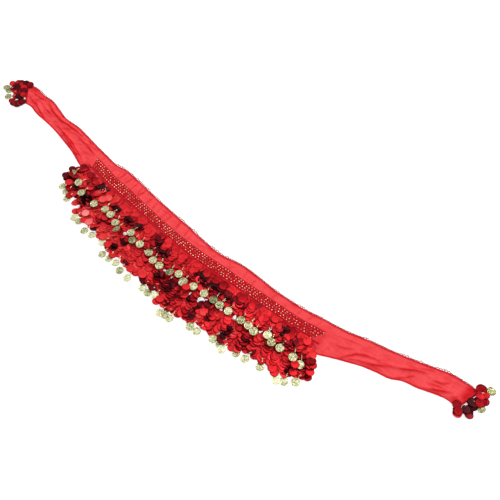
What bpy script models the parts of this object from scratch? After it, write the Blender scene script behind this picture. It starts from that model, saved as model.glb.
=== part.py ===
"""Belly dance hip scarf, laid flat on a surface.

A long chiffon strip with a beaded edging along its top edge, a band of beaded net sewn across its
middle, two tiers of sequin-and-coin strings below that band, and a small tassel of the same strings
at each end. Millimetres in the tables, metres in the meshes. +X runs along the scarf, +Y towards its
plain top edge and +Z up from the surface. The tables measure from a line through the strip's two end
corners, and SHIFT carries that line's middle into the part's own frame.
"""

from collections import namedtuple

import bmesh
import bpy
import numpy as np
from mathutils import Vector

MM = 0.001

# Driving sizes
CLOTH_THICK = 1.2
GAP = 0.3
BAND_THICK = 1.6
EDGING_WIDE = 2.2
EDGING_THICK = 1.4
EDGING_LIFT = 0.3
COLUMN_STEP = 15.0
COIN_RADIUS = 10.4
COIN_THICK = 0.9
LINK_HALF = 0.9
LINK_LONG = 2.5
SEQUIN_HALF = 10.0
SEQUIN_TOP_HALF = 7.4  # half the width that shows of a sequin tucked under the one above it
SEQUIN_THIN, SEQUIN_FULL = 1.2, 2.3  # a stack's thickness at a sequin's upper and lower end
SEQUIN_STEP = 0.8
THREAD_HALF = 1.5
THREAD_THICK = 0.8
THREAD_LONG = 4.0
STRIP_WIDE = 4.0
STRIP_LAP = 2.0
SHIFT = Vector((22.0, 129.5, 0.0))

# One row for each place where the strip's outline turns. `along` is the place on the top edge, `lean`
# is how much further along the lower edge of that section lies, and the rest are distances across:
# the top edge, the two edges of the beaded band, which the tails carry on as plain lines, and the
# lower edge.
Section = namedtuple("Section", "along lean top band_top band_low low")
SECTIONS = (
    Section(-729, 50, 25, 6, -11, -30),
    Section(-700, 32, 29, 9, -9, -29),
    Section(-665, 10, 23, 5, -11, -30),
    Section(-625, 0, 21, 1, -16, -38),
    Section(-590, 0, 11, -7, -22, -42),
    Section(-550, 0, -1, -16, -30, -48),
    Section(-500, 0, -3, -22, -40, -60),
    Section(-450, 0, -12, -33, -54, -74),
    Section(-400, 0, -22, -43, -71, -93),
    Section(-365, 0, -28, -49, -78, -101),
    Section(-325, 0, -34, -58, -86, -108),
    Section(-300, 0, -31, -63, -91, -112),
    Section(-250, 0, -36, -69, -97, -120),
    Section(-180, 0, -48, -80, -105, -128),
    Section(-100, 0, -59, -91, -114, -137),
    Section(-50, 0, -65, -96, -120, -142),
    Section(0, 0, -73, -99, -125, -146),
    Section(60, 0, -78, -99, -125, -147),
    Section(115, 0, -71, -99, -125, -148),
    Section(240, 0, -77, -99, -125, -150),
    Section(310, 0, -74, -98, -125, -151),
    Section(345, 0, -69, -94, -123, -150),
    Section(385, 0, -65, -90, -119, -147),
    Section(412, 0, -61, -86, -111, -136),
    Section(450, 0, -52, -77, -97, -121),
    Section(480, 0, -46, -70, -88, -110),
    Section(510, 0, -41, -63, -81, -103),
    Section(545, 0, -33, -55, -73, -96),
    Section(562, 0, -29, -50, -67, -87),
    Section(600, 0, -19, -40, -57, -79),
    Section(640, 0, -8, -29, -46, -67),
    Section(675, -12, -6, -26, -43, -63),
    Section(706, -22, -6, -27, -46, -66),
)

# The strip's grid lines across: the two named edges that a line lies between, and how far over.
ACROSS_LINES = (
    ("top", "band_top", 0.0),
    ("top", "band_top", 0.25),
    ("top", "band_top", 0.5),
    ("top", "band_top", 0.75),
    ("band_top", "band_low", 0.0),
    ("band_top", "band_low", 0.5),
    ("band_low", "low", 0.0),
    ("band_low", "low", 0.33),
    ("band_low", "low", 0.67),
    ("band_low", "low", 1.0),
)

# The largest folds of the cloth: a soft ridge from one place to another.
Fold = namedtuple("Fold", "from_along from_across to_along to_across height half_width")
FOLDS = (
    Fold(-712, 16, -640, 14, 2.6, 9),
    Fold(-630, 10, -575, -12, 3.0, 8),
    Fold(-575, -12, -450, -22, 2.4, 8),
    Fold(-665, -12, -605, -36, 2.6, 8),
    Fold(-560, -32, -478, -50, 2.4, 9),
    Fold(-520, -42, -415, -78, 3.0, 8),
    Fold(-480, -24, -402, -42, 2.2, 8),
    Fold(-262, -40, -268, -60, 1.6, 8),
    Fold(-206, -46, -214, -68, 1.8, 8),
    Fold(-106, -62, -110, -84, 1.6, 8),
    Fold(2, -92, 62, -82, 1.8, 8),
    Fold(106, -92, 118, -74, 1.8, 8),
    Fold(232, -78, 226, -94, 1.4, 8),
    Fold(434, -122, 458, -88, 3.0, 8),
    Fold(448, -108, 540, -68, 3.0, 9),
    Fold(528, -70, 598, -36, 3.2, 9),
    Fold(548, -90, 576, -66, 2.2, 8),
    Fold(604, -74, 664, -42, 3.2, 8),
    Fold(622, -44, 652, -26, 2.2, 8),
)
FLAT_FROM, FLAT_TO = -404, 396  # between these the cloth lies flat under the band and the fringe

BAND_FROM, BAND_TO = -381, 373
LEFT_LEAN, RIGHT_LEAN = 9, 18  # how far the band's slanted ends come in, from its top edge to its low one

# Each string of the two tiers that ends in a coin: where the coin's middle lies.
Coin = namedtuple("Coin", "along across")
UPPER_COINS = tuple(
    Coin(*place)
    for place in (
        (-402, -121), (-366, -134), (-337, -152), (-287, -157), (-253, -152), (-231, -155),
        (-205, -165), (-190, -177), (-154, -163), (-136, -177), (-114, -174), (-81, -178),
        (-59, -188), (-37, -190), (-6, -188), (15, -179), (36, -187), (63, -183),
        (95, -182), (122, -181), (142, -183), (167, -183), (204, -183), (225, -183),
        (243, -187), (273, -175), (290, -184), (313, -183), (348, -183), (370, -188),
    )
)
LOWER_COINS = tuple(
    Coin(*place)
    for place in (
        (-390, -167), (-370, -174), (-353, -188), (-326, -180), (-297, -217), (-280, -218),
        (-249, -229), (-225, -227), (-190, -227), (-167, -250), (-146, -249), (-125, -248),
        (-103, -257), (-75, -261), (-29, -258), (-10, -260), (7, -256), (45, -281),
        (57, -278), (72, -278), (122, -265), (141, -265), (182, -257), (203, -259),
        (213, -265), (243, -252), (267, -250), (304, -245), (349, -248), (364, -240),
        (385, -226),
    )
)
FRINGE_NODES = 4
FRINGE_FROM, FRINGE_TO = -386, 380
TIP_SPREAD = 404.0
FAN_OUT = 24.0
STRING_PITCH = 23.0  # closest that two strings of one layer lie
PLAIN_SHORTER = 9.0  # how far a string without a coin stops short of its neighbours' coins
HIGH_SEQUIN_PITCH, LOW_SEQUIN_PITCH = 15.0, 26.0

# How high a string lies, against how far across it is from the beaded band: one row for each bend.
Rise = namedtuple("Rise", "across low_layer high_layer")
UPPER_RISE = (
    Rise(0, 1.9, 3.3),
    Rise(4, 1.9, 3.5),
    Rise(10, 1.9, 4.7),
    Rise(18, 4.1, 7.1),
    Rise(46, 7.2, 10.2),
)
LOWER_RISE = (Rise(0, 0.5, 2.0), Rise(34, 0.5, 2.3), Rise(44, 0.5, 3.6))
END_RISE = (Rise(0, 0.5, 2.2), Rise(10, 0.5, 3.6))

# A tier: its coins, the tip of a plain string beyond each end of them, the line of the cloth that its
# strip follows, the strip's height, and how long a stack of sequins is on a string with a coin and on
# a plain one.
Tier = namedtuple(
    "Tier", "name coins side_tips edge_line strip_under strip_thick rises coin_run plain_run"
)
UPPER_TIER = Tier(
    "upper_fringe", UPPER_COINS, ((-408, -145), (397, -192)), ("band_low", "low", 0.0),
    CLOTH_THICK + GAP, 3.2, UPPER_RISE, 62, 48,
)
LOWER_TIER = Tier(
    "lower_fringe", LOWER_COINS, ((-404, -152), (402, -212)), ("band_low", "low", 1.0),
    0.0, 3.4, LOWER_RISE, 74, 60,
)

# The tassels at the two ends. `root` is how far down the end edge a string starts, from 0 to 1.
END_STRIP_THICK = 3.4
END_SEQUINS_FROM = 10.0
END_SEQUIN_PITCH = 14.0
EndString = namedtuple("EndString", "root along across coin")
LEFT_STRINGS = (
    EndString(0.06, -768, 14, False),
    EndString(0.20, -776, -1, False),
    EndString(0.34, -772, -20, True),
    EndString(0.50, -757, -24, True),
    EndString(0.64, -742, -41, True),
    EndString(0.78, -717, -56, False),
    EndString(0.92, -702, -57, False),
)
RIGHT_STRINGS = (
    EndString(0.04, 710, 12, False),
    EndString(0.15, 728, 11, True),
    EndString(0.34, 735, -12, False),
    EndString(0.48, 727, -36, True),
    EndString(0.62, 722, -46, False),
    EndString(0.78, 720, -62, False),
    EndString(0.92, 694, -79, False),
)


def smooth(name, along):
    """A column of SECTIONS at this place, on a curve through its rows."""
    places = np.array([row.along for row in SECTIONS], float)
    values = np.array([getattr(row, name) for row in SECTIONS], float)
    slopes = np.gradient(values, places)
    i = int(np.clip(np.searchsorted(places, along) - 1, 0, len(places) - 2))
    span = places[i + 1] - places[i]
    t = (along - places[i]) / span
    t = float(np.clip(t, 0, 1))
    start = (1 + 2 * t) * (1 - t) ** 2 * values[i] + t * (1 - t) ** 2 * span * slopes[i]
    end = t * t * (3 - 2 * t) * values[i + 1] + t * t * (t - 1) * span * slopes[i + 1]
    return start + end


def fold_height(along, across):
    """How far the folds lift the cloth here."""
    if FLAT_FROM < along < FLAT_TO and across < smooth("band_top", along) + 1:
        return 0.0
    lift = 0.0
    for fold in FOLDS:
        start = np.array((fold.from_along, fold.from_across), float)
        line = np.array((fold.to_along, fold.to_across), float) - start
        here = np.array((along, across)) - start
        t = float(np.clip(here @ line / (line @ line), 0, 1))
        away = np.linalg.norm(here - t * line) / fold.half_width
        lift = max(lift, fold.height * float(np.exp(-away * away)))
    return lift if lift > 0.1 else 0.0


def cloth_point(along, line):
    """A point of the cloth's upper face: `along` on the top edge, on one of the lines across."""
    first, second, over = line
    across = (1 - over) * smooth(first, along) + over * smooth(second, along)
    top, low = smooth("top", along), smooth("low", along)
    leaning = along + smooth("lean", along) * (top - across) / (top - low)
    return Vector((leaning, across, CLOTH_THICK + fold_height(leaning, across)))


def columns(start, end):
    count = round((end - start) / COLUMN_STEP)
    return np.linspace(start, end, count + 1)


def material(name, colour, roughness, metallic=0.0):
    made = bpy.data.materials.new(name)
    made.use_nodes = True
    surface = made.node_tree.nodes["Principled BSDF"]
    surface.inputs["Base Color"].default_value = (*colour, 1.0)
    surface.inputs["Roughness"].default_value = roughness
    surface.inputs["Metallic"].default_value = metallic
    made.diffuse_color = (*colour, 1.0)
    return made


def add_object(name, mesh, home, finish):
    made = bpy.data.objects.new(name, mesh)
    made.data.materials.append(finish)
    home.objects.link(made)
    return made


def grid_mesh(name, rows):
    """An open sheet through rows of points, facing up."""
    shape = bmesh.new()
    corners = [[shape.verts.new((point + SHIFT) * MM) for point in row] for row in rows]
    for near, far in zip(corners, corners[1:]):
        for i in range(len(near) - 1):
            shape.faces.new((near[i], near[i + 1], far[i + 1], far[i]))
    bmesh.ops.recalc_face_normals(shape, faces=shape.faces)
    if sum(face.normal.z for face in shape.faces) < 0:
        bmesh.ops.reverse_faces(shape, faces=shape.faces)
    mesh = bpy.data.meshes.new(name)
    shape.to_mesh(mesh)
    shape.free()
    return mesh


def add_wall(name, rows, thick, home, finish):
    """A sheet with its upper face through these rows and its thickness below."""
    made = add_object(name, grid_mesh(name, rows), home, finish)
    wall = made.modifiers.new("Thickness", "SOLIDIFY")
    wall.thickness = thick * MM
    wall.offset = -1.0
    wall.use_rim = True
    made.data.shade_smooth()
    made.data.set_sharp_from_angle(angle=np.radians(35))
    return made


def add_chiffon(home):
    """The strip itself: one cloth, flat where it rests, lifted along its folds."""
    places = columns(SECTIONS[0].along, SECTIONS[-1].along)
    rows = [[cloth_point(along, line) for along in places] for line in ACROSS_LINES]
    finish = material("Red_chiffon", (0.72, 0.05, 0.07), 0.75)
    return add_wall("chiffon_strip", rows, CLOTH_THICK, home, finish)


def add_beaded_band(home):
    """The net band, from the cloth's own points under it, moved out by its gap and thickness."""
    lift = Vector((0, 0, GAP + BAND_THICK))
    count = len(columns(BAND_FROM, BAND_TO))
    rows = []
    for share, line in zip((0.0, 0.5, 1.0), ACROSS_LINES[4:7]):
        places = np.linspace(BAND_FROM + LEFT_LEAN * share, BAND_TO - RIGHT_LEAN * share, count)
        rows.append([cloth_point(along, line) + lift for along in places])
    finish = material("Beaded_red_net", (0.45, 0.01, 0.02), 0.6)
    return add_wall("beaded_net_band", rows, BAND_THICK, home, finish)


def add_edging(home):
    """The beaded edging: a narrow braid that follows the cloth's top edge, a seam's gap outside it.

    It stops one column short of each end, where the tassels' strings cross it.
    """
    places = columns(SECTIONS[0].along, SECTIONS[-1].along)[1:-1]
    edge = [cloth_point(along, ACROSS_LINES[0]) for along in places]
    rows = []
    for out in (GAP + EDGING_WIDE, GAP):
        row = []
        for i, point in enumerate(edge):
            run = edge[min(i + 1, len(edge) - 1)] - edge[max(i - 1, 0)]
            side = Vector((-run.y, run.x, 0)).normalized()
            row.append(point + side * out + Vector((0, 0, EDGING_LIFT + EDGING_THICK - CLOTH_THICK)))
        rows.append(row)
    finish = material("Beaded_edging", (0.35, 0.05, 0.06), 0.5)
    return add_wall("beaded_edging", rows, EDGING_THICK, home, finish)


def lie_at(rises, layer, away):
    """The height of a string's underside, this far across from where its fringe begins."""
    return float(np.interp(away, [rise.across for rise in rises], [getattr(rise, layer) for rise in rises]))


def add_ring(shape, centre, side, half, under, thick):
    """Four corners of one section of a string."""
    corners = []
    for out, up in ((-half, 0), (half, 0), (half, thick), (-half, thick)):
        place = Vector((centre.x, centre.y, under + up)) + side * out
        corners.append(shape.verts.new((place + SHIFT) * MM))
    return corners


def skin(shape, rings):
    """Closes a run of four-cornered sections into one string."""
    shape.faces.new(rings[0][::-1])
    for near, far in zip(rings, rings[1:]):
        for i in range(4):
            j = (i + 1) % 4
            shape.faces.new((near[i], near[j], far[j], far[i]))
    shape.faces.new(rings[-1])


def sequin_stations(start, end, pitch):
    """Sections of a stack of sequins that overlap like scales: each is wide and thick at its lower end."""
    count = max(2, round((end - start) / pitch))
    step = (end - start) / count
    stations = []
    for i in range(count):
        near = start + i * step
        stations.append((near + SEQUIN_STEP, SEQUIN_TOP_HALF, SEQUIN_THIN))
        stations.append((near + step - SEQUIN_STEP, SEQUIN_HALF, SEQUIN_FULL))
    stations[-1] = (end - 0.4 * SEQUIN_HALF, SEQUIN_HALF, SEQUIN_FULL)
    stations.append((end, 0.5 * SEQUIN_HALF, SEQUIN_THIN))
    return stations


def coin_stations(middle):
    """A link and an eight-sided disc, a section at each pair of corners."""
    wide, narrow = COIN_RADIUS * np.cos(np.pi / 8), COIN_RADIUS * np.sin(np.pi / 8)
    return [
        (middle - wide - LINK_LONG, LINK_HALF, COIN_THICK),
        (middle - wide, narrow, COIN_THICK),
        (middle - narrow, wide, COIN_THICK),
        (middle + narrow, wide, COIN_THICK),
        (middle + wide, narrow, COIN_THICK),
    ]


def add_string(shape, root, tip, coin, sequins_from, pitch, height):
    """One string: a thread out of its strip, a stack of sequins, and a coin on a link or a last sequin."""
    line = Vector((tip.x - root.x, tip.y - root.y, 0))
    reach = line.length
    line.normalize()
    side = Vector((line.y, -line.x, 0))
    sequins_to = reach - COIN_RADIUS - 2 * LINK_LONG if coin else reach
    stations = [(-STRIP_LAP, THREAD_HALF, THREAD_THICK), (THREAD_LONG, THREAD_HALF, THREAD_THICK)]
    if sequins_from > 4 * THREAD_LONG:
        stations.append((sequins_from - THREAD_LONG, THREAD_HALF, THREAD_THICK))
    stations += sequin_stations(max(sequins_from, 2 * THREAD_LONG), sequins_to, pitch)
    if coin:
        stations += coin_stations(reach)
    rings = []
    for out, half, thick in stations:
        centre = root + line * out
        rings.append(add_ring(shape, centre, side, half, height(centre), thick))
    skin(shape, rings)


def finish_fringe(name, strings, strip_rows, thick, home, cutters, finish):
    """The strip with its strings' roots fused into it."""
    bmesh.ops.recalc_face_normals(strings, faces=strings.faces)
    mesh = bpy.data.meshes.new(name + "_strings")
    strings.to_mesh(mesh)
    strings.free()
    helper = add_object(name + "_strings", mesh, cutters, finish)
    helper.hide_render = True
    helper.display_type = "WIRE"
    made = add_wall(name, strip_rows, thick, home, finish)
    join = made.modifiers.new("Roots", "BOOLEAN")
    join.operation = "UNION"
    join.solver = "EXACT"
    join.object = helper
    return made


def tips_of_layer(tier, first, jitter):
    """Where one layer's strings end: its coins, and plain strings spread in the gaps between them."""
    ends = [(coin.along, coin.across, True) for coin in tier.coins[first::2]]
    for along, across in tier.side_tips:
        if min(abs(along - end[0]) for end in ends) >= STRING_PITCH:
            ends.append((along, across, False))
    ends.sort()
    filled = []
    for near, far in zip(ends, ends[1:]):
        room = min(far[0] - near[0], root_place(far[0]) - root_place(near[0]))
        count = int(room // STRING_PITCH) - 1
        for i in range(count):
            over = (i + 1) / (count + 1)
            along = near[0] + (far[0] - near[0]) * over
            across = near[1] + (far[1] - near[1]) * over + PLAIN_SHORTER + jitter.uniform(-6, 6)
            filled.append((along, across, False))
    return sorted(ends + filled)


def root_place(along):
    """Where a string starts: straight above its tip, but for a fan towards each end of the fringe."""
    return along - FAN_OUT * np.sign(along) * abs(along / TIP_SPREAD) ** 4


def add_tier_string(shape, tier, layer, end):
    """A string of a tier, from its place on the strip to its end."""
    along, across, coin = end
    from_along = root_place(along)
    edge = cloth_point(from_along, tier.edge_line)
    root = Vector((from_along, edge.y - GAP - STRIP_WIDE, 0))
    tip = Vector((along, across, 0))
    run = tier.coin_run if coin else tier.plain_run
    pitch = HIGH_SEQUIN_PITCH if layer == "high_layer" else LOW_SEQUIN_PITCH

    def height(place):
        return lie_at(tier.rises, layer, smooth("band_low", place.x) - place.y)

    add_string(shape, root, tip, coin, (tip - root).length - run, pitch, height)


def between_roots(bound, roots):
    """The middle of the widest gap between two roots near this place."""
    gaps = [(far - near, (near + far) / 2) for near, far in zip(roots, roots[1:])]
    return max(gap for gap in gaps if abs(gap[1] - bound) < STRING_PITCH)[1]


def add_tier(tier, home, cutters, finish):
    """A tier of strings, as FRINGE_NODES lengths that lie end to end."""
    jitter = np.random.default_rng(len(tier.coins))
    layers = {
        "low_layer": tips_of_layer(tier, 1, jitter),
        "high_layer": tips_of_layer(tier, 0, jitter),
    }
    roots = sorted(root_place(tip[0]) for tips in layers.values() for tip in tips)
    bounds = [FRINGE_FROM]
    for bound in np.linspace(FRINGE_FROM, FRINGE_TO, FRINGE_NODES + 1)[1:-1]:
        bounds.append(between_roots(bound, roots))
    bounds.append(FRINGE_TO)
    for index, (start, end) in enumerate(zip(bounds, bounds[1:])):
        strings = bmesh.new()
        for layer, tips in layers.items():
            for tip in tips:
                if start <= root_place(tip[0]) < end:
                    add_tier_string(strings, tier, layer, tip)
        places = columns(start + GAP / 2, end - GAP / 2)
        top = tier.strip_under + tier.strip_thick
        rows = []
        for out in (GAP, GAP + STRIP_WIDE):
            row = [cloth_point(along, tier.edge_line) for along in places]
            rows.append([Vector((point.x, point.y - out, top)) for point in row])
        name = f"{tier.name}_{index + 1}"
        finish_fringe(name, strings, rows, tier.strip_thick, home, cutters, finish)


def add_end_tassel(name, end_along, outward, strings, home, cutters, finish):
    """The strings at one end, on a strip a seam's gap outside the cloth's end edge."""
    corner = cloth_point(end_along, ACROSS_LINES[0])
    foot = cloth_point(end_along, ACROSS_LINES[-1])
    edge = Vector((foot.x - corner.x, foot.y - corner.y, 0))
    side = Vector((edge.y, -edge.x, 0)).normalized()
    if side.x * outward < 0:
        side = -side
    shape = bmesh.new()
    for index, row in enumerate(strings):
        layer = "low_layer" if index % 2 else "high_layer"
        start = Vector((corner.x, corner.y, 0)) + edge * row.root + side * (GAP + STRIP_WIDE)
        tip = Vector((row.along, row.across, 0))

        def height(place, layer=layer, start=start):
            return lie_at(END_RISE, layer, (place - start).length)

        add_string(shape, start, tip, row.coin, END_SEQUINS_FROM, END_SEQUIN_PITCH, height)
    rows = []
    for out in (GAP, GAP + STRIP_WIDE):
        ends = [Vector((corner.x, corner.y, END_STRIP_THICK)) + edge * share for share in (0.03, 0.97)]
        rows.append([place + side * out for place in ends])
    finish_fringe(name, shape, rows, END_STRIP_THICK, home, cutters, finish)


def main():
    for old in list(bpy.data.objects):
        bpy.data.objects.remove(old, do_unlink=True)
    home = bpy.data.collections.new("Hip_scarf")
    cutters = bpy.data.collections.new("Hip_scarf_helpers")
    for collection in (home, cutters):
        bpy.context.scene.collection.children.link(collection)
    add_chiffon(home)
    add_beaded_band(home)
    add_edging(home)
    sequins = material("Red_sequins", (0.55, 0.01, 0.02), 0.25, 0.6)
    add_tier(UPPER_TIER, home, cutters, sequins)
    add_tier(LOWER_TIER, home, cutters, sequins)
    add_end_tassel("left_end_tassel", SECTIONS[0].along, -1, LEFT_STRINGS, home, cutters, sequins)
    add_end_tassel("right_end_tassel", SECTIONS[-1].along, 1, RIGHT_STRINGS, home, cutters, sequins)


main()
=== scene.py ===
"""Looks of a belly dance hip scarf, laid flat on a pale surface.

The sections follow the scarf as it is made up: the chiffon strip and its rolled hem, the beaded net
band, the picot edging, the threads with their sequins, the tassels at the two ends, and the coins.
Sizes are millimetres from a line through the strip's two end corners, and SHIFT carries that line's
middle into the part's own frame, in metres.
"""

from collections import namedtuple

import bmesh
import bpy
import numpy as np
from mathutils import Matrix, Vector


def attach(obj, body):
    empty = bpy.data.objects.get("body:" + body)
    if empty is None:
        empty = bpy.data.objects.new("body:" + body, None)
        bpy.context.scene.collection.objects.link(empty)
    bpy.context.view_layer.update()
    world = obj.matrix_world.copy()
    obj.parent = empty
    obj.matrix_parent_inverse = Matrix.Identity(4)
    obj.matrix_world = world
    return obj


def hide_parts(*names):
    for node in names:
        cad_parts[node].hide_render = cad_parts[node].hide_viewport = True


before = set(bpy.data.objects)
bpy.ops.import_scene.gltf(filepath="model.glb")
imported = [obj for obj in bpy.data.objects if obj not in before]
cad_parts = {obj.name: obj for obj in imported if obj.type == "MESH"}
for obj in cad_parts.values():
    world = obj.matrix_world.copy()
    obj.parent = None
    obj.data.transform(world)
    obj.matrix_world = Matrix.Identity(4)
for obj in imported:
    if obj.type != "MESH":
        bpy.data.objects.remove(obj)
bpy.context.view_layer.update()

# ---------------------------------------------------------------------------------------------------
# The chiffon strip
# One length of sheer red polyester chiffon, about 1.45 m long and 47 to 84 mm wide, cut in one piece.
# It lies flat under the band and the fringe, and crumples softly along its two tails.

MM = 0.001
SHIFT = np.array((22.0, 129.5, 0.0))
CLOTH_MIDDLE = 0.72  # height of the chiffon's middle over the surface
CLOTH_WALL = 0.34
CLOTH_STEP, CLOTH_ROWS = 2.2, 40
FLAT_FROM, FLAT_TO = -410, 402  # the band and the fringe hold the cloth flat between these places
TAIL_FROM = 380  # the tails, where the cloth lies crumpled, begin this far to both sides
DOUBLE_EDGE = 4.4  # the cloth shows darker this near its edges, where it is turned over

# The strip's outline and the band's two edges. `along` is the place on the top edge and `lean` is how
# much further along the lower edge of that section lies.
Section = namedtuple("Section", "along lean top band_top band_low low")
SECTIONS = tuple(map(Section._make, (
    (-729, 50, 25, 6, -11, -30), (-700, 32, 29, 9, -9, -29), (-665, 10, 23, 5, -11, -30),
    (-625, 0, 21, 1, -16, -38), (-590, 0, 11, -7, -22, -42), (-550, 0, -1, -16, -30, -48),
    (-500, 0, -3, -22, -40, -60), (-450, 0, -12, -33, -54, -74), (-400, 0, -22, -43, -71, -93),
    (-365, 0, -28, -49, -78, -101), (-325, 0, -34, -58, -86, -108), (-300, 0, -31, -63, -91, -112),
    (-250, 0, -36, -69, -97, -120), (-180, 0, -48, -80, -105, -128), (-100, 0, -59, -91, -114, -137),
    (-50, 0, -65, -96, -120, -142), (0, 0, -73, -99, -125, -146), (60, 0, -78, -99, -125, -147),
    (115, 0, -71, -99, -125, -148), (240, 0, -77, -99, -125, -150), (310, 0, -74, -98, -125, -151),
    (345, 0, -69, -94, -123, -150), (385, 0, -65, -90, -119, -147), (412, 0, -61, -86, -111, -136),
    (450, 0, -52, -77, -97, -121), (480, 0, -46, -70, -88, -110), (510, 0, -41, -63, -81, -103),
    (545, 0, -33, -55, -73, -96), (562, 0, -29, -50, -67, -87), (600, 0, -19, -40, -57, -79),
    (640, 0, -8, -29, -46, -67), (675, -12, -6, -26, -43, -63), (706, -22, -6, -27, -46, -66),
)))
FIRST, LAST = SECTIONS[0].along, SECTIONS[-1].along

# Creases pressed into the cloth: how high the ridge stands, how soft its upper and lower sides are,
# and the places it runs through.
Crease = namedtuple("Crease", "height above below path")
CREASES = tuple(map(Crease._make, (
    # left tail: the turned-down top edge, the long diagonal folds and the bundle of fine lengthwise ones
    (1.5, 6, 2, ((-718, 14), (-690, 11), (-662, 9), (-640, 13), (-622, 17))),
    (2.9, 7, 4, ((-630, 12), (-615, 4), (-600, -3), (-575, -10), (-545, -16), (-512, -13))),
    (2.3, 6, 4, ((-575, -12), (-530, -14), (-490, -15), (-450, -22))),
    (1.2, 4, 3, ((-655, 2), (-630, -6), (-600, -14), (-570, -19))),
    (2.3, 7, 4, ((-662, -10), (-635, -22), (-602, -35))), (1.3, 5, 3, ((-690, -4), (-668, -12), (-640, -17))),
    (1.0, 3, 4, ((-590, -24), (-545, -27), (-500, -31))),
    (2.2, 6, 4, ((-565, -31), (-520, -40), (-478, -50), (-440, -64), (-405, -78))),
    (2.6, 6, 4, ((-522, -42), (-470, -59), (-418, -79))), (1.1, 4, 3, ((-500, -22), (-450, -29), (-398, -33))),
    (1.9, 6, 4, ((-480, -25), (-430, -35), (-398, -43), (-378, -56))),
    (0.9, 3, 3, ((-470, -37), (-430, -46), (-400, -54))), (0.8, 3, 3, ((-455, -45), (-425, -53), (-395, -63))),
    (0.9, 3, 4, ((-540, -22), (-510, -24), (-475, -31))), (0.8, 3, 3, ((-440, -20), (-410, -28), (-385, -33))),
    (0.9, 4, 3, ((-420, -40), (-400, -46), (-384, -60))),
    # right tail
    (3.0, 7, 4, ((430, -127), (440, -112), (455, -94), (475, -84), (503, -76))),
    (2.7, 7, 4, ((446, -114), (470, -103), (500, -92), (520, -79), (540, -68))),
    (1.0, 4, 3, ((470, -106), (495, -98), (520, -91))),
    (3.0, 7, 4, ((535, -71), (558, -59), (580, -46), (602, -37))),
    (1.2, 4, 3, ((500, -83), (525, -73), (548, -64))),
    (1.6, 5, 3, ((545, -92), (558, -83), (570, -72), (582, -58))),
    (1.0, 4, 3, ((560, -50), (585, -38), (600, -28), (612, -22))),
    (3.0, 7, 4, ((602, -75), (620, -67), (640, -56), (664, -43))),
    (1.9, 6, 3, ((620, -44), (640, -37), (650, -26))), (1.2, 4, 3, ((612, -56), (632, -49), (652, -44))),
    (1.0, 4, 3, ((660, -56), (672, -47), (680, -38))), (1.1, 4, 3, ((378, -125), (402, -120))),
    (0.9, 4, 3, ((405, -104), (430, -96), (446, -86))), (0.8, 4, 3, ((398, -84), (425, -76), (452, -70))),
    # over the band
    (0.9, 4, 3, ((-24, -90), (4, -89), (30, -82), (64, -83))), (0.9, 3, 4, ((98, -97), (107, -86), (118, -76))),
    (0.6, 4, 3, ((-150, -58), (-128, -66), (-104, -64))),
)))

# Short cross creases between the top edge and the band: how high each stands and how far it slants.
CrossCrease = namedtuple("CrossCrease", "along height slant")
CROSS_CREASES = tuple(map(CrossCrease._make, (
    (-365, 0.9, -6), (-342, 0.5, 3), (-318, 0.6, -3), (-300, 0.8, 4), (-286, 1.3, -5), (-262, 1.2, -6),
    (-240, 1.1, -3), (-221, 0.8, 3), (-208, 1.6, -7), (-178, 0.9, -4), (-160, 0.7, 2), (-142, 0.9, 3),
    (-120, 0.6, -5), (-105, 1.1, -4), (-75, 0.9, 4), (-45, 0.9, 4), (-28, 0.5, -3), (18, 0.5, 4), (54, 0.5, -3),
    (140, 0.5, 4), (171, 0.6, -2), (198, 0.4, 3), (232, 0.9, -6), (262, 0.4, 2), (300, 0.5, -4), (330, 0.7, -8),
    (352, 0.5, -4),
)))

# Where the cloth lies double, so that it shows darker: a rounded place and how much of it shows.
Doubled = namedtuple("Doubled", "along across half_along half_across share")
DOUBLED = tuple(map(Doubled._make, (
    (-682, 26, 44, 13, 0.75), (-640, 21, 26, 6, 0.5), (-716, 16, 9, 15, 0.55), (697, -22, 17, 25, 1.1),
    (678, -56, 15, 10, 0.9), (368, -118, 15, 26, 0.55), (392, -98, 20, 12, 0.25), (-388, -82, 12, 10, 0.35),
    (-320, -42, 26, 5, 0.25),
)))


def line_at(name, along):
    """A column of SECTIONS at these places, on a curve through its rows."""
    places = np.array([row.along for row in SECTIONS], float)
    values = np.array([getattr(row, name) for row in SECTIONS], float)
    slopes = np.gradient(values, places)
    i = np.clip(np.searchsorted(places, along) - 1, 0, len(places) - 2)
    span = places[i + 1] - places[i]
    t = np.clip((along - places[i]) / span, 0, 1)
    start = (1 + 2 * t) * (1 - t) ** 2 * values[i] + t * (1 - t) ** 2 * span * slopes[i]
    end = t * t * (3 - 2 * t) * values[i + 1] + t * t * (t - 1) * span * slopes[i + 1]
    return start + end


def on_strip(along, share):
    """A place of the strip: `along` on its top edge, and `share` of the way down to its lower edge."""
    along, share = np.broadcast_arrays(np.asarray(along, float), np.asarray(share, float))
    top, low = line_at("top", along), line_at("low", along)
    return along + line_at("lean", along) * share, top + (low - top) * share


def ripple(x, y, size, seed):
    """A soft uneven ripple between about -1 and 1, with waves of this size."""
    luck = np.random.default_rng(seed)
    total = 0
    for _ in range(7):
        turn, phase, stretch = luck.uniform(0, np.pi), luck.uniform(0, 6.3), luck.uniform(0.6, 1.6)
        total = total + np.sin((x * np.cos(turn) + y * np.sin(turn)) * 6.28 / (size * stretch) + phase)
    return total / 4


def reach_of(points):
    """How far along a line each of its points is."""
    return np.concatenate([[0], np.cumsum(np.linalg.norm(np.diff(points, axis=0), axis=1))])


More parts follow.
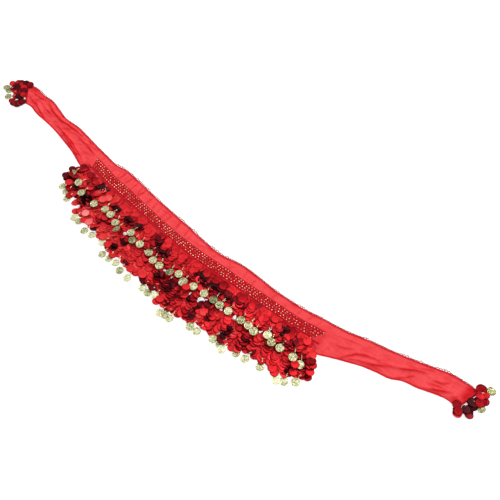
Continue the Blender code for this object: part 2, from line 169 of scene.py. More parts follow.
def ridge(x, y, path, above, below):
    """How near each place is to a crease, 1 on it and 0 away, fading towards its two ends."""
    path = np.array(path, float)
    reach = reach_of(path)
    best = np.zeros_like(x)
    for i, (start, end) in enumerate(zip(path, path[1:])):
        run = end - start
        length = np.hypot(*run)
        t = np.clip(((x - start[0]) * run[0] + (y - start[1]) * run[1]) / length**2, 0, 1)
        away_x, away_y = x - start[0] - t * run[0], y - start[1] - t * run[1]
        side = np.sign(run[0] * away_y - run[1] * away_x) * np.sign(run[0] + 1e-9)
        share = (reach[i] + t * length) / reach[-1]
        fade = np.sqrt(np.clip(np.sin(np.pi * (0.04 + 0.92 * share)), 0, 1))
        wide = np.where(side > 0, above, below)
        best = np.maximum(best, fade * np.exp(-(np.hypot(away_x, away_y) / wide) ** 2))
    return best


def all_creases():
    """Every crease of the strip, the cross creases as paths too."""
    yield from CREASES
    for along, height, slant in CROSS_CREASES:
        top, band = float(line_at("top", along)), float(line_at("band_top", along))
        path = ((along, top - 3), (along + slant * 0.3, (top + band) / 2), (along + slant, band + 2))
        yield Crease(height * 1.3, 4, 3, path)


def under_band(x, y):
    """1 where the band and the fringe hold the cloth flat, 0 where it is free, with a soft border."""
    ends = np.clip((x - FLAT_FROM) / 12, 0, 1) * np.clip((FLAT_TO - x) / 12, 0, 1)
    return ends * np.clip((line_at("band_top", x) + 4 - y) / 5, 0, 1)


def cloth_height(x, y):
    """The height of the chiffon's middle over the surface."""
    lift = np.zeros_like(x)
    for row in all_creases():
        lift = np.maximum(lift, row.height * ridge(x, y, row.path, row.above, row.below))
    crumple = 0.34 * ripple(x, y, 46, 3) + 0.16 * ripple(x, y, 17, 4)
    return CLOTH_MIDDLE + (1 - under_band(x, y)) * (lift * 0.92 + 0.3 + crumple * 0.75).clip(-0.3, 3.1)


def placed(name, mesh):
    """A mesh as a piece of the scene."""
    piece = bpy.data.objects.new(name, mesh)
    bpy.context.scene.collection.objects.link(piece)
    return piece


def store(mesh, **said):
    """Keeps a number or a direction for every place of a mesh."""
    for name, values in said.items():
        values = np.asarray(values, np.float32)
        kind, field = ("FLOAT", "value") if values.ndim == 1 else ("FLOAT_VECTOR", "vector")
        mesh.attributes.new(name, kind, "POINT").data.foreach_set(field, values.ravel())


def cloth_piece(name, points, faces, flat, finish, **said):
    """A smooth cloth piece through these points in millimetres, with the flat cloth as its map."""
    mesh = bpy.data.meshes.new(name)
    mesh.from_pydata((points.reshape(-1, 3) + SHIFT) * MM, [], faces)
    corners = np.empty(len(mesh.loops), np.int32)
    mesh.loops.foreach_get("vertex_index", corners)
    layer = mesh.uv_layers.new(name="Cloth")
    layer.data.foreach_set("uv", (flat.reshape(-1, 2) * MM)[corners].astype(np.float32).ravel())
    store(mesh, **said)
    mesh.materials.append(finish)
    mesh.shade_smooth()
    return placed(name, mesh)


def laid_sheet(name, x, y, z, wall, finish, **said):
    """A sheet through a grid of places, facing up, with half of its wall on each side."""
    index = np.arange(x.size).reshape(x.shape)
    faces = np.stack([index[:-1, :-1], index[1:, :-1], index[1:, 1:], index[:-1, 1:]], -1).reshape(-1, 4)
    piece = cloth_piece(name, np.stack([x, y, z], -1), faces.tolist(), np.stack([x, y], -1), finish, **said)
    modifier = piece.modifiers.new("Wall", "SOLIDIFY")
    modifier.thickness, modifier.offset, modifier.use_rim = wall * MM, 0.0, True
    return piece


def put(tree, kind, inputs=(), **settings):
    """One node of a tree: its settings, then its inputs as plain values or as other nodes' outputs."""
    node = tree.nodes.new(kind)
    for key, value in settings.items():
        setattr(node, key, value)
    for key, value in dict(inputs).items():
        if isinstance(value, bpy.types.NodeSocket):
            tree.links.new(value, node.inputs[key])
        else:
            node.inputs[key].default_value = value
    return node


def maths(tree, operation, first, second=0.0, clamp=False):
    """A sum of two numbers, or another operation on them."""
    return put(tree, "ShaderNodeMath", {0: first, 1: second}, operation=operation, use_clamp=clamp).outputs[0]


def noise(tree, where, scale, detail=2.0, **more):
    """Uneven clouds between 0 and 1."""
    inputs = {"Vector": where, "Scale": scale, "Detail": detail, **more}
    return put(tree, "ShaderNodeTexNoise", inputs).outputs["Fac"]


def spread(tree, value, low=0.0, high=1.0, start=0.0, end=1.0):
    """A value between `start` and `end` carried to another range."""
    inputs = {"Value": value, "From Min": start, "From Max": end, "To Min": low, "To Max": high}
    return put(tree, "ShaderNodeMapRange", inputs).outputs["Result"]


def mixed(tree, share, first, second):
    """A colour between two others."""
    return put(tree, "ShaderNodeMix", {0: share, 6: first, 7: second}, data_type="RGBA").outputs[2]


def stored(tree, name):
    """A number that the mesh keeps for every place."""
    return put(tree, "ShaderNodeAttribute", attribute_name=name).outputs["Fac"]


def mapped(tree, flat, scale, turn=0.0):
    """Places of the flat cloth, turned and stretched."""
    return put(tree, "ShaderNodeMapping", {"Vector": flat, "Rotation": (0, 0, turn), "Scale": scale}).outputs[0]


def crossed(tree, where, count, operation, **more):
    """Threads both ways, this many of them in a metre."""
    inputs = {"Vector": where, "Scale": 0.314 * count, **more}
    waves = [put(tree, "ShaderNodeTexWave", inputs, bands_direction=way).outputs["Fac"] for way in "XY"]
    return maths(tree, operation, *waves)


def bump(tree, height, strength, distance, under=None):
    """Relief on the surface, over the relief `under` it."""
    inputs = {"Height": height, "Strength": strength, "Distance": distance}
    if under is not None:
        inputs["Normal"] = under
    return put(tree, "ShaderNodeBump", inputs).outputs[0]


def new_finish(name, **plain):
    """A new material with these plain values on its shader, and its tree."""
    finish = bpy.data.materials.new(name)
    finish.use_nodes = True
    for key, value in plain.items():
        finish.node_tree.nodes["Principled BSDF"].inputs[key.replace("_", " ")].default_value = value
    return finish, finish.node_tree


def dressed(finish, **linked):
    """A material with these outputs linked to its shader."""
    for key, value in linked.items():
        shader = finish.node_tree.nodes["Principled BSDF"]
        finish.node_tree.links.new(value, shader.inputs[key.replace("_", " ")])
    return finish


SHEER_RED = (0.76, 0.044, 0.052, 1)
DOUBLED_AND_SHADED_RED = (0.55, 0.004, 0.009, 1)
PALE_THREAD = (0.81, 0.098, 0.106, 1)
CHIFFON_THREADS = 1100.0  # in a metre


def chiffon_finish():
    """Sheer plain-weave polyester: soft sheen, thread streaks both ways, darker where it lies double, and
    painted shade along its creases and crushed lines.
    """
    finish, tree = new_finish(
        "Sheer_red_chiffon", Roughness=0.7, Sheen_Weight=0.07, Sheen_Roughness=0.35,
        Sheen_Tint=(1.0, 0.62, 0.60, 1), Specular_IOR_Level=0.08,
    )
    flat = put(tree, "ShaderNodeUVMap", uv_map="Cloth").outputs["UV"]
    weft = noise(tree, mapped(tree, flat, (9, 620, 1)), 1.0)
    warp = noise(tree, mapped(tree, flat, (480, 11, 1)), 1.0)
    streaks = maths(tree, "MULTIPLY", weft, warp)
    cloud = noise(tree, flat, 34.0, 4.0, Roughness=0.6)
    crinkle = noise(tree, mapped(tree, flat, (38, 210, 1), 0.12), 1.0, 3.0, Distortion=0.6)
    crinkled = stored(tree, "crinkled")
    # Painted shade: thin crossing lines where the sheer cloth was crushed, and the crinkles that its bump
    # raises, darken and lighten its colour.
    sway = put(tree, "ShaderNodeVectorMath", {0: crinkle, 1: (0.9, 1.3, 0.0)}, operation="MULTIPLY").outputs[0]
    crushed = mapped(tree, flat, (24, 84, 1), -0.1)
    crushed = put(tree, "ShaderNodeVectorMath", {0: crushed, 1: sway}, operation="ADD").outputs[0]
    cells = put(tree, "ShaderNodeTexVoronoi", {"Vector": crushed, "Scale": 1.0}, feature="DISTANCE_TO_EDGE")
    lines = spread(tree, cells.outputs["Distance"], 0.5, -0.12, end=0.16)
    crossing = maths(tree, "ADD", spread(tree, crinkle, -0.55, 0.6), lines)
    fine_fold_shade = maths(tree, "MULTIPLY", crossing, crinkled)
    dye_and_fold_shade = maths(tree, "ADD", spread(tree, cloud, -0.62, 0.62), fine_fold_shade)
    layers = maths(tree, "ADD", stored(tree, "layers"), dye_and_fold_shade, clamp=True)
    single = mixed(tree, spread(tree, streaks, 0.0, 1.4), SHEER_RED, PALE_THREAD)
    woven = bump(tree, crossed(tree, flat, CHIFFON_THREADS, "MULTIPLY", Distortion=0.6), 0.22, 0.0002)
    slub = bump(tree, streaks, 0.5, 0.0012, woven)
    return dressed(
        finish, Base_Color=mixed(tree, layers, single, DOUBLED_AND_SHADED_RED), Roughness=spread(tree, cloud, 0.62, 0.82),
        Normal=bump(tree, crinkle, crinkled, 0.0022, slub),
    )


chiffon_red = chiffon_finish()
along_grid, share_grid = np.meshgrid(
    np.linspace(FIRST, LAST, round((LAST - FIRST) / CLOTH_STEP) + 1), np.linspace(0, 1, CLOTH_ROWS + 1))
cloth_x, cloth_y = on_strip(along_grid, share_grid)
edge_pull = np.abs(2 * share_grid - 1) ** 4  # the cut edge wanders a little, its middle doesn't
cloth_y = cloth_y + edge_pull * 0.5 * ripple(along_grid, share_grid * 900, 34, 8)
layers_and_crease_shade = np.zeros_like(cloth_x)
# Creases darken the cloth's colour. The sharp line on the ridge is partly the cloth lying double there. The
# soft band on both sides is painted shade.
for row in all_creases():
    dark = ridge(cloth_x, cloth_y, row.path, row.above * 0.45, row.below * 0.5)
    layers_and_crease_shade = np.maximum(layers_and_crease_shade, dark * min(0.5, 0.16 + 0.12 * row.height))
    sharp = ridge(cloth_x, cloth_y, row.path, 2.3, 2.3)
    layers_and_crease_shade = np.maximum(layers_and_crease_shade, sharp * min(1.0, 0.14 + 0.38 * row.height))
layers_and_crease_shade *= 1 - under_band(cloth_x, cloth_y)
layers_and_crease_shade += 0.07 * np.clip((np.abs(cloth_x) - TAIL_FROM) / 40, 0, 1)
for row in DOUBLED:
    spot = ((cloth_x - row.along) / row.half_along) ** 4 + ((cloth_y - row.across) / row.half_across) ** 4
    layers_and_crease_shade = np.maximum(layers_and_crease_shade, row.share * np.exp(-spot))
edge_near = np.minimum(share_grid, 1 - share_grid) * (cloth_y[0] - cloth_y[-1])
layers_and_crease_shade = np.maximum(layers_and_crease_shade, 0.95 * np.exp(-((edge_near / DOUBLE_EDGE) ** 4)))
crumpled = np.clip((-TAIL_FROM - cloth_x) / 40, 0, 1) * (0.6 + 0.4 * ripple(cloth_x, cloth_y, 60, 5))
chiffon_cloth = laid_sheet(
    "chiffon_cloth", cloth_x, cloth_y, cloth_height(cloth_x, cloth_y), CLOTH_WALL, chiffon_red,
    layers=layers_and_crease_shade.ravel(), crinkled=(0.3 + 0.6 * crumpled).ravel(),
)

# The hem: the raw edge rolled over twice all the way round and overlocked with red thread.
HEM_HALF_WIDE, HEM_HALF_THICK = 1.25, 0.52
HEM_IN = 0.6  # the roll's middle lies this far inside the cut edge
HEM_HIGHEST = 2.6
HEM_STEP = 2.6  # from one overlock stitch to the next
HEM_STITCH, STITCH_THREAD = 2.5, 0.5
ROLLED_LAYERS = 0.85  # how dark the rolled cloth shows, as the chiffon's own layers do


def outline(start, end):
    """Points down one edge of the strip's outline, from one (along, share) corner to another."""
    length = np.hypot(*(np.array(on_strip(*end)) - np.array(on_strip(*start))))
    t = np.linspace(0, 1, max(2, round(length / HEM_STEP)))
    x, y = on_strip(start[0] + (end[0] - start[0]) * t, start[1] + (end[1] - start[1]) * t)
    run_x, run_y = np.gradient(x), np.gradient(y)
    long = np.hypot(run_x, run_y)
    return x + run_y / long * HEM_IN, y - run_x / long * HEM_IN


def outward(mesh):
    """Turns every face of a closed mesh outwards."""
    shape = bmesh.new()
    shape.from_mesh(mesh)
    bmesh.ops.recalc_face_normals(shape, faces=shape.faces)
    shape.to_mesh(mesh)
    shape.free()


def swept(name, centres, half_wide, half_thick, finish, sway):
    """A closed roll of flattened section along a line of places, its ends shut."""
    run = np.gradient(centres, axis=0)
    across = np.stack([-run[:, 1], run[:, 0], 0 * run[:, 0]], -1)
    across /= np.linalg.norm(across, axis=1)[:, None]
    count, sides = len(centres), 8
    turns = np.arange(sides) / sides * 2 * np.pi
    reach = reach_of(centres)
    swell = 1 + sway * ripple(reach, 0 * reach, 9, 21)
    sideways = across[:, None] * (np.cos(turns) * half_wide)[None, :, None] * swell[:, None, None]
    rings = centres[:, None] + sideways + np.array((0, 0, 1.0)) * (np.sin(turns) * half_thick)[None, :, None]
    index = np.arange(count * sides).reshape(count, sides)
    after = np.roll(index, -1, axis=1)
    faces = np.stack([index[:-1], index[1:], after[1:], after[:-1]], -1).reshape(-1, 4).tolist()
    faces += [index[0].tolist(), index[-1][::-1].tolist()]
    flat = np.stack([np.repeat(reach, sides), np.tile(turns * half_wide, count)], -1)
    piece = cloth_piece(name, rings, faces, flat, finish, layers=np.full(count * sides, ROLLED_LAYERS))
    outward(piece.data)
    return piece


def joined(name, pieces):
    """Several meshes made one piece."""
    with bpy.context.temp_override(active_object=pieces[0], selected_editable_objects=pieces,
                                   selected_objects=pieces):
        bpy.ops.object.join()
    pieces[0].name = pieces[0].data.name = name
    return pieces[0]


hem_rolls, hem_places, hem_across = [], [], []
corners = ((FIRST, 0), (LAST, 0), (LAST, 1), (FIRST, 1), (FIRST, 0))
for start, end in zip(corners, corners[1:]):
    x, y = outline(start, end)
    z = np.minimum(cloth_height(x, y), HEM_HIGHEST)
    centres = np.stack([x, y, np.maximum(z, HEM_HALF_THICK + 0.1)], -1)
    hem_rolls.append(swept("hem_roll", centres, HEM_HALF_WIDE, HEM_HALF_THICK, chiffon_red, 0.12))
    hem_places.append(centres + (0, 0, HEM_HALF_THICK * 0.82))
    run = np.gradient(centres, axis=0)
    run /= np.linalg.norm(run, axis=1)[:, None]
    hem_across.append(np.stack([-run[:, 1], run[:, 0], 0 * run[:, 2]], -1))
rolled_hem = joined("rolled_hem", hem_rolls)

SOCKET_KINDS = {"Seed": "NodeSocketInt", "Finish": "NodeSocketMaterial", "Shape": "NodeSocketObject"}


def new_tree(name, **named):
    """A node tree with geometry in and out and these named inputs with their plain values."""
    tree = bpy.data.node_groups.new(name, "GeometryNodeTree")
    for way in ("INPUT", "OUTPUT"):
        tree.interface.new_socket("Geometry", in_out=way, socket_type="NodeSocketGeometry")
    for label, value in named.items():
        kind = SOCKET_KINDS.get(label, "NodeSocketFloat")
        socket = tree.interface.new_socket(label.replace("_", " "), in_out="INPUT", socket_type=kind)
        if value is not None:
            socket.default_value = value
    return tree, put(tree, "NodeGroupInput").outputs, put(tree, "NodeGroupOutput").inputs[0]


def guide_mesh(points, chains=(), **said):
    """Guide places in millimetres, joined in chains where they are a path, with what each one says."""
    mesh = bpy.data.meshes.new("guide")
    edges = [(int(i), int(i) + 1) for start, count in chains for i in range(start, start + count - 1)]
    mesh.from_pydata((np.asarray(points, float) + SHIFT) * MM, edges, [])
    store(mesh, **said)
    return mesh


def grown(name, guide, tree, **named):
    """What a tree makes of its guide, as a plain mesh piece."""
    source = placed(name + "_guide", guide)
    modifier = source.modifiers.new("Growth", "NODES")
    modifier.node_group = tree
    for socket in tree.interface.items_tree:
        label = socket.name.replace(" ", "_")
        if socket.in_out == "INPUT" and label in named:
            modifier[socket.identifier] = named[label]
    graph = bpy.context.evaluated_depsgraph_get()
    mesh = bpy.data.meshes.new_from_object(
        source.evaluated_get(graph), preserve_all_data_layers=True, depsgraph=graph)
    source.modifiers.clear()
    bpy.data.objects.remove(source)
    mesh.name = name
    return placed(name, mesh)


def said_by(tree, name, kind="FLOAT_VECTOR"):
    """What the guide says for every place."""
    return put(tree, "GeometryNodeInputNamedAttribute", {"Name": name}, data_type=kind).outputs["Attribute"]


def chance(tree, low, high, seed, shift, kind="FLOAT"):
    """A random number or vector for each place, its seed moved on by `shift`."""
    first, second, result = (0, 1, 0) if kind == "FLOAT_VECTOR" else (2, 3, 1)
    inputs = {first: low, second: high, "Seed": maths(tree, "ADD", seed, float(shift))}
    return put(tree, "FunctionNodeRandomValue", inputs, data_type=kind).outputs[result]


def unequal(tree, size, share, seed):
    """A size that is up to this share larger or smaller at each place."""
    less, more = maths(tree, "SUBTRACT", 1.0, share), maths(tree, "ADD", 1.0, share)
    return maths(tree, "MULTIPLY", size, chance(tree, less, more, seed, 1))


def sized(tree, x, y, z):
    """Three numbers as a vector."""
    return put(tree, "ShaderNodeCombineXYZ", {0: x, 1: y, 2: z}).outputs[0]


def stood(tree, places, body, turn, size=(1, 1, 1)):
    """A copy of a body at each place, each one real."""
    inputs = {"Points": places, "Instance": body, "Rotation": turn, "Scale": size}
    copies = put(tree, "GeometryNodeInstanceOnPoints", inputs).outputs[0]
    return put(tree, "GeometryNodeRealizeInstances", {0: copies}).outputs[0]


def end_tree(tree, shapes, finish, out, smooth=True):
    """Smooths the shapes where they are round, gives them their finish and ends the tree."""
    if smooth:
        shapes = put(tree, "GeometryNodeSetShadeSmooth", {0: shapes}).outputs[0]
    shapes = put(tree, "GeometryNodeSetMaterial", {"Geometry": shapes, "Material": finish}).outputs[0]
    tree.links.new(shapes, out)
    return tree


def stitch_tree():
    """A short raised thread at each place, laid along the `lay` direction."""
    tree, given, out = new_tree(
        "Stitches", Length=0.003, Thread=0.0006, Length_spread=0.15, Seed=1, Finish=None)
    body = put(tree, "GeometryNodeMeshUVSphere", {"Segments": 6, "Rings": 4, "Radius": 0.5}).outputs[0]
    long = unequal(tree, given["Length"], given["Length spread"], given["Seed"])
    turn = put(tree, "FunctionNodeAxesToRotation", {0: said_by(tree, "lay"), 1: (0, 0, 1)},
               primary_axis="X", secondary_axis="Z").outputs[0]
    size = sized(tree, long, given["Thread"], given["Thread"])
    return end_tree(tree, stood(tree, given["Geometry"], body, turn, size), given["Finish"], out)


THREAD_TWIST = 420.0


def thread_finish(name, colour):
    """Twisted polyester thread: a fine slanting twist and uneven dye."""
    finish, tree = new_finish(name, Roughness=0.55, Sheen_Weight=0.2)
    where = put(tree, "ShaderNodeTexCoord").outputs["Object"]
    darker = tuple(0.55 * c for c in colour[:3]) + (1,)
    inputs = {"Vector": where, "Scale": THREAD_TWIST, "Distortion": 1.5}
    ply = put(tree, "ShaderNodeTexWave", inputs, bands_direction="DIAGONAL").outputs["Fac"]
    return dressed(
        finish, Base_Color=mixed(tree, noise(tree, where, 160.0), darker, colour),
        Normal=bump(tree, ply, 0.35, 0.0002),
    )


red_thread = thread_finish("Red_sewing_thread", (0.62, 0.015, 0.028, 1))
stitches = stitch_tree()
hem_stitches = grown(
    "hem_stitches", guide_mesh(np.concatenate(hem_places), lay=np.concatenate(hem_across)),
    stitches, Length=HEM_STITCH * MM, Thread=STITCH_THREAD * MM, Length_spread=0.25, Seed=5, Finish=red_thread,
)
# The scarf is one body: coins and strings swing only on slack thread, so nothing turns on a joint.
for piece in (chiffon_cloth, rolled_hem, hem_stitches):
    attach(piece, "root")
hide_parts("chiffon_strip")

# ---------------------------------------------------------------------------------------------------
# The beaded net band
# A slanted-end strip of fine crimson net, doubled and sewn over the chiffon with a running stitch.
# Four staggered rows of small gold beads are threaded through it.

BAND_FROM, BAND_TO = -381, 373
LEFT_LEAN, RIGHT_LEAN = 9, 18  # how far the slanted ends come in, from the band's top edge to its low one
BAND_LOW, BAND_MIDDLE = 1.45, 2.15  # the net's height at its edges, and between them
NET_WALL = 0.42
NET_HOLES = 640.0  # in a metre
NET_COLUMNS, NET_ROWS = 480, 25
BEAD, BEAD_PITCH = 2.6, 7.9
BEADS_MISSING = 0.015
BeadRow = namedtuple("BeadRow", "share start end")
BEAD_ROWS = tuple(map(BeadRow._make, (
    (0.17, -378, 371), (0.39, -376, 364), (0.62, -367, 361), (0.85, -371, 352),
)))


def on_band(along, share):
    """A place of the band: its ends slant, so `along` is squeezed in towards its low edge."""
    over = (along - BAND_FROM) / (BAND_TO - BAND_FROM)
    x = BAND_FROM + LEFT_LEAN * share + over * (BAND_TO - BAND_FROM - (LEFT_LEAN + RIGHT_LEAN) * share)
    top, low = line_at("band_top", x), line_at("band_low", x)
    return x, top + (low - top) * share


def band_height(x, share):
    """The net puffs a little between the rows of beads and turns down at its edges."""
    puff = -0.28 * np.cos((share - BEAD_ROWS[0].share) * 2 * np.pi / 0.227)
    border = np.clip(np.minimum(share, 1 - share) / 0.06, 0, 1)
    ends = np.clip(np.minimum(x - BAND_FROM, BAND_TO - x) / 6, 0, 1)
    lumps = 0.2 * ripple(x, share * 26, 11, 31) + 0.12 * ripple(x, share * 26, 4.5, 32)
    return BAND_LOW + (BAND_MIDDLE - BAND_LOW + puff + lumps) * np.sqrt(border * ends)


def net_finish(name, hollows, strands):
    """Fine nylon net, doubled: tiny open diamonds, each part dyed unevenly between two reds."""
    finish, tree = new_finish(
        name, Roughness=0.7, Sheen_Weight=0.03, Sheen_Tint=(1.0, 0.2, 0.2, 1), Specular_IOR_Level=0.06)
    flat = put(tree, "ShaderNodeUVMap", uv_map="Cloth").outputs["UV"]
    diamonds = mapped(tree, flat, (1, 1, 1), 0.785)
    net = crossed(tree, diamonds, NET_HOLES, "MAXIMUM", Distortion=1.2, Detail=1.0)
    cloud = noise(tree, flat, 120.0, 3.0)
    sunk = spread(tree, noise(tree, flat, 330.0, 1.0), start=0.36, end=0.52)
    net = maths(tree, "MULTIPLY", net, sunk)
    return dressed(
        finish, Base_Color=mixed(tree, net, mixed(tree, cloud, *hollows), mixed(tree, cloud, *strands)),
        Normal=bump(tree, cloud, 0.6, 0.002, bump(tree, net, 0.5, 0.0004)),
    )


crimson_net = net_finish("Crimson_net", ((0.26, 0.001, 0.005, 1), (0.42, 0.003, 0.009, 1)),
                         ((0.50, 0.004, 0.012, 1), (0.64, 0.007, 0.018, 1)))
along_grid, share_grid = np.meshgrid(np.linspace(BAND_FROM, BAND_TO, NET_COLUMNS), np.linspace(0, 1, NET_ROWS))
net_x, net_y = on_band(along_grid, share_grid)
net_y = net_y + np.abs(2 * share_grid - 1) ** 6 * 0.5 * ripple(net_x, share_grid * 90, 7, 33)
net_band_cloth = laid_sheet(
    "net_band_cloth", net_x, net_y, band_height(net_x, share_grid), NET_WALL, crimson_net)


def bead_tree():
    """A small round bead at each place, each a little larger, smaller or off its place."""
    tree, given, out = new_tree(
        "Beads", Bead=0.003, Squash=0.85, Size_spread=0.1, Stray=0.0, Seed=1, Finish=None)
    ball = put(tree, "GeometryNodeMeshUVSphere", {"Segments": 8, "Rings": 5, "Radius": 0.5}).outputs[0]
    wide = unequal(tree, given["Bead"], given["Size spread"], given["Seed"])
    away = chance(tree, (-1, -1, 0), (1, 1, 0), given["Seed"], 2, "FLOAT_VECTOR")
    moved = put(tree, "ShaderNodeVectorMath", {0: away, "Scale": given["Stray"]}, operation="SCALE").outputs[0]
    places = put(tree, "GeometryNodeSetPosition", {"Geometry": given["Geometry"], "Offset": moved}).outputs[0]
    tip = chance(tree, (-0.4, -0.4, 0), (0.4, 0.4, 6.28), given["Seed"], 3, "FLOAT_VECTOR")
    turn = put(tree, "FunctionNodeEulerToRotation", {0: tip}).outputs[0]
    size = sized(tree, wide, wide, maths(tree, "MULTIPLY", wide, given["Squash"]))
    return end_tree(tree, stood(tree, places, ball, turn, size), given["Finish"], out)


def bead_finish(name, dull, bright, roughness, metallic):
    """Plated or lined beads: each has its own brightness in `shine`, with thin patches in the plating."""
    finish, tree = new_finish(name, Metallic=metallic, Coat_Weight=0.25, Coat_Roughness=0.12)
    tone_shift = noise(tree, put(tree, "ShaderNodeTexCoord").outputs["Object"], 900.0)
    share = maths(tree, "ADD", stored(tree, "shine"), spread(tree, tone_shift, -0.18, 0.18), clamp=True)
    return dressed(finish, Base_Color=mixed(tree, share, dull, bright),
                   Roughness=spread(tree, tone_shift, roughness, roughness + 0.18))


def shines(luck, middle, swing, count):
    """How brightly each of so many beads shines, from 0 to 1."""
    return np.clip(luck.normal(middle, swing, count), 0, 1)


gold_beads = bead_finish("Gold_beads", (0.12, 0.09, 0.035, 1), (1.0, 0.96, 0.66, 1), 0.25, 0.5)
beads = bead_tree()
luck = np.random.default_rng(41)
bead_places, bead_shine = [], []
for index, row in enumerate(BEAD_ROWS):
    count = round((row.end - row.start) / BEAD_PITCH)
    places = np.linspace(row.start, row.end, count + 1) + (index % 2) * BEAD_PITCH / 2
    x = places + luck.uniform(-1.1, 1.1, len(places))
    y = line_at("band_top", x) * (1 - row.share) + line_at("band_low", x) * row.share
    z = band_height(x, row.share + 0 * x) + NET_WALL / 2 + 0.36 * BEAD
    keep = luck.uniform(size=len(x)) > BEADS_MISSING
    bead_places.append(np.stack([x, y, z], -1)[keep])
    bead_shine.append(shines(luck, 0.6, 0.45, len(x))[keep])
bead_places.append([(354, -123.6, 3.2)])  # one more that slid to the corner
bead_shine.append([0.4])
net_band_beads = grown(
    "net_band_beads", guide_mesh(np.concatenate(bead_places), shine=np.concatenate(bead_shine)),
    beads, Bead=BEAD * MM, Squash=0.86, Size_spread=0.1, Stray=0.35 * MM, Seed=7, Finish=gold_beads,
)

# The running stitch that holds the band down, just inside its edges and across its two ends.
RUNNING_PITCH, RUNNING_STITCH = 4.4, 3.0
band_places = np.arange(BAND_FROM + 4, BAND_TO - 4, RUNNING_PITCH)
end_shares = np.linspace(0.1, 0.9, 6)
sewn_places = []
for along, share in ((band_places, 0.035), (band_places, 0.965),
                     (BAND_FROM + 3, end_shares), (BAND_TO - 3, end_shares)):
    x, y = on_band(along, share)
    sewn_places.append(np.stack([x, y, band_height(x, share + 0 * x) + NET_WALL / 2], -1))
sewn_lay = np.concatenate([np.gradient(places, axis=0) for places in sewn_places])
band_stitches = grown(
    "band_stitches",
    guide_mesh(np.concatenate(sewn_places), lay=sewn_lay / np.linalg.norm(sewn_lay, axis=1)[:, None]),
    stitches, Length=RUNNING_STITCH * MM, Thread=STITCH_THREAD * MM, Length_spread=0.2, Seed=6,
    Finish=red_thread,
)
for piece in (net_band_cloth, net_band_beads, band_stitches):
    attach(piece, "root")
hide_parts("beaded_net_band")


def cut_of(top, low, start, end, count):
    """What is cut for a strip between two lines: (its widest place, its length) and its area, in metres."""
    along = np.linspace(start, end, count)
    wide, run = line_at(top, along) - line_at(low, along), np.gradient(along)
    long = float(np.hypot(run, np.gradient(line_at(top, along))).sum())
    return (float(wide.max()) * MM, long * MM), float((wide * run).sum()) * MM * MM


band_flat, band_area = cut_of("band_top", "band_low", BAND_FROM, BAND_TO, 200)

# ---------------------------------------------------------------------------------------------------
# The picot edging
# Small loops of maroon thread worked along the hemmed top edge, three glass seed beads on each.
# Most lie tucked against the hem, and some stretches of them stand out from it.

PICOT_PITCH = 6.0
PICOT_TUCKED = 1.5
PICOT_BEAD = 2.1
PICOT_THREAD = 1.0
PICOT_LOWEST = 0.75
PICOT_ARC = np.linspace(0, np.pi, 9)
Standing = namedtuple("Standing", "start end out")
STANDING = tuple(map(Standing._make, (
    (-684, -656, 3.4), (-328, -302, 4.3), (-278, -268, 2.6), (-254, -226, 3.5), (-214, -199, 3.8),
    (-174, -158, 3.4), (-92, -68, 3.2), (-36, -20, 3.6), (30, 62, 3.5), (76, 94, 2.8), (222, 234, 2.6),
    (286, 303, 3.2), (448, 459, 3.8), (530, 548, 3.8), (572, 580, 4.0), (608, 642, 3.6),
)))


def thread_tree():
    """A round thread swept along each guide path."""
    tree, given, out = new_tree("Threads", Thread=0.0006, Finish=None)
    path = put(tree, "GeometryNodeMeshToCurve", {0: given["Geometry"]}).outputs[0]
    half = maths(tree, "MULTIPLY", given["Thread"], 0.5)
    ring = put(tree, "GeometryNodeCurvePrimitiveCircle", {"Resolution": 5, "Radius": half}).outputs[0]
    inputs = {"Curve": path, "Profile Curve": ring, "Fill Caps": True}
    tube = put(tree, "GeometryNodeCurveToMesh", inputs).outputs[0]
    tube = put(tree, "GeometryNodeRealizeInstances", {0: tube}).outputs[0]
    return end_tree(tree, tube, given["Finish"], out)


threads = thread_tree()
picot_paths, picot_chains, picot_bead_places = [], [], []
luck = np.random.default_rng(51)
for along in np.arange(FIRST + 16, LAST - 14, PICOT_PITCH):
    out_reach = PICOT_TUCKED + luck.uniform(-0.3, 0.4)
    for row in STANDING:
        if row.start <= along <= row.end:
            out_reach = row.out + luck.uniform(-0.5, 1.2)
    here, ahead = (np.array(on_strip(along + step, 0.0)) for step in (-1, 1))
    run = (ahead - here) / np.linalg.norm(ahead - here)
    out = np.array((-run[1], run[0]))
    middle = (here + ahead) / 2 + out * 0.3
    lean = luck.uniform(-0.9, 0.9)
    half = PICOT_PITCH * luck.uniform(0.42, 0.56)
    ground = max(float(cloth_height(*middle)) - 0.1, PICOT_LOWEST)
    loop = []
    for turn in PICOT_ARC:
        flat = middle + run * (-np.cos(turn) * half + lean * np.sin(turn)) + out * out_reach * np.sin(turn)
        loop.append((*flat, ground + 0.5 * np.sin(turn)))
    picot_chains.append((len(picot_paths), len(loop)))
    picot_paths += loop
    picot_bead_places += [loop[2], loop[4], loop[6]]
picot_thread = thread_finish("Maroon_picot_thread", (0.34, 0.007, 0.018, 1))
edging_loops = grown("edging_loops", guide_mesh(picot_paths, picot_chains), threads,
                     Thread=PICOT_THREAD * MM, Finish=picot_thread)
maroon_glass = bead_finish("Maroon_glass_beads", (0.10, 0.003, 0.008, 1), (0.62, 0.08, 0.11, 1), 0.18, 0.3)
edging_beads = grown(
    "edging_beads", guide_mesh(picot_bead_places, shine=shines(luck, 0.3, 0.3, len(picot_bead_places))),
    beads, Bead=PICOT_BEAD * MM, Squash=0.9, Size_spread=0.12, Seed=8, Finish=maroon_glass,
)
for piece in (edging_loops, edging_beads):
    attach(piece, "root")
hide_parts("beaded_edging")

# The chiffon is whole with its edging on. Its cut is as long as its top edge and as wide as its widest place.
chiffon_flat, chiffon_area = cut_of("top", "low", FIRST, LAST, 400)

# ---------------------------------------------------------------------------------------------------
# The two tiers of sequin strings
# Red thread hangs from a red net tape, one tape under the band and one along the chiffon's lower edge.
# Large flat foil sequins are threaded through a hole near their rim, so that they overlap like tiles.

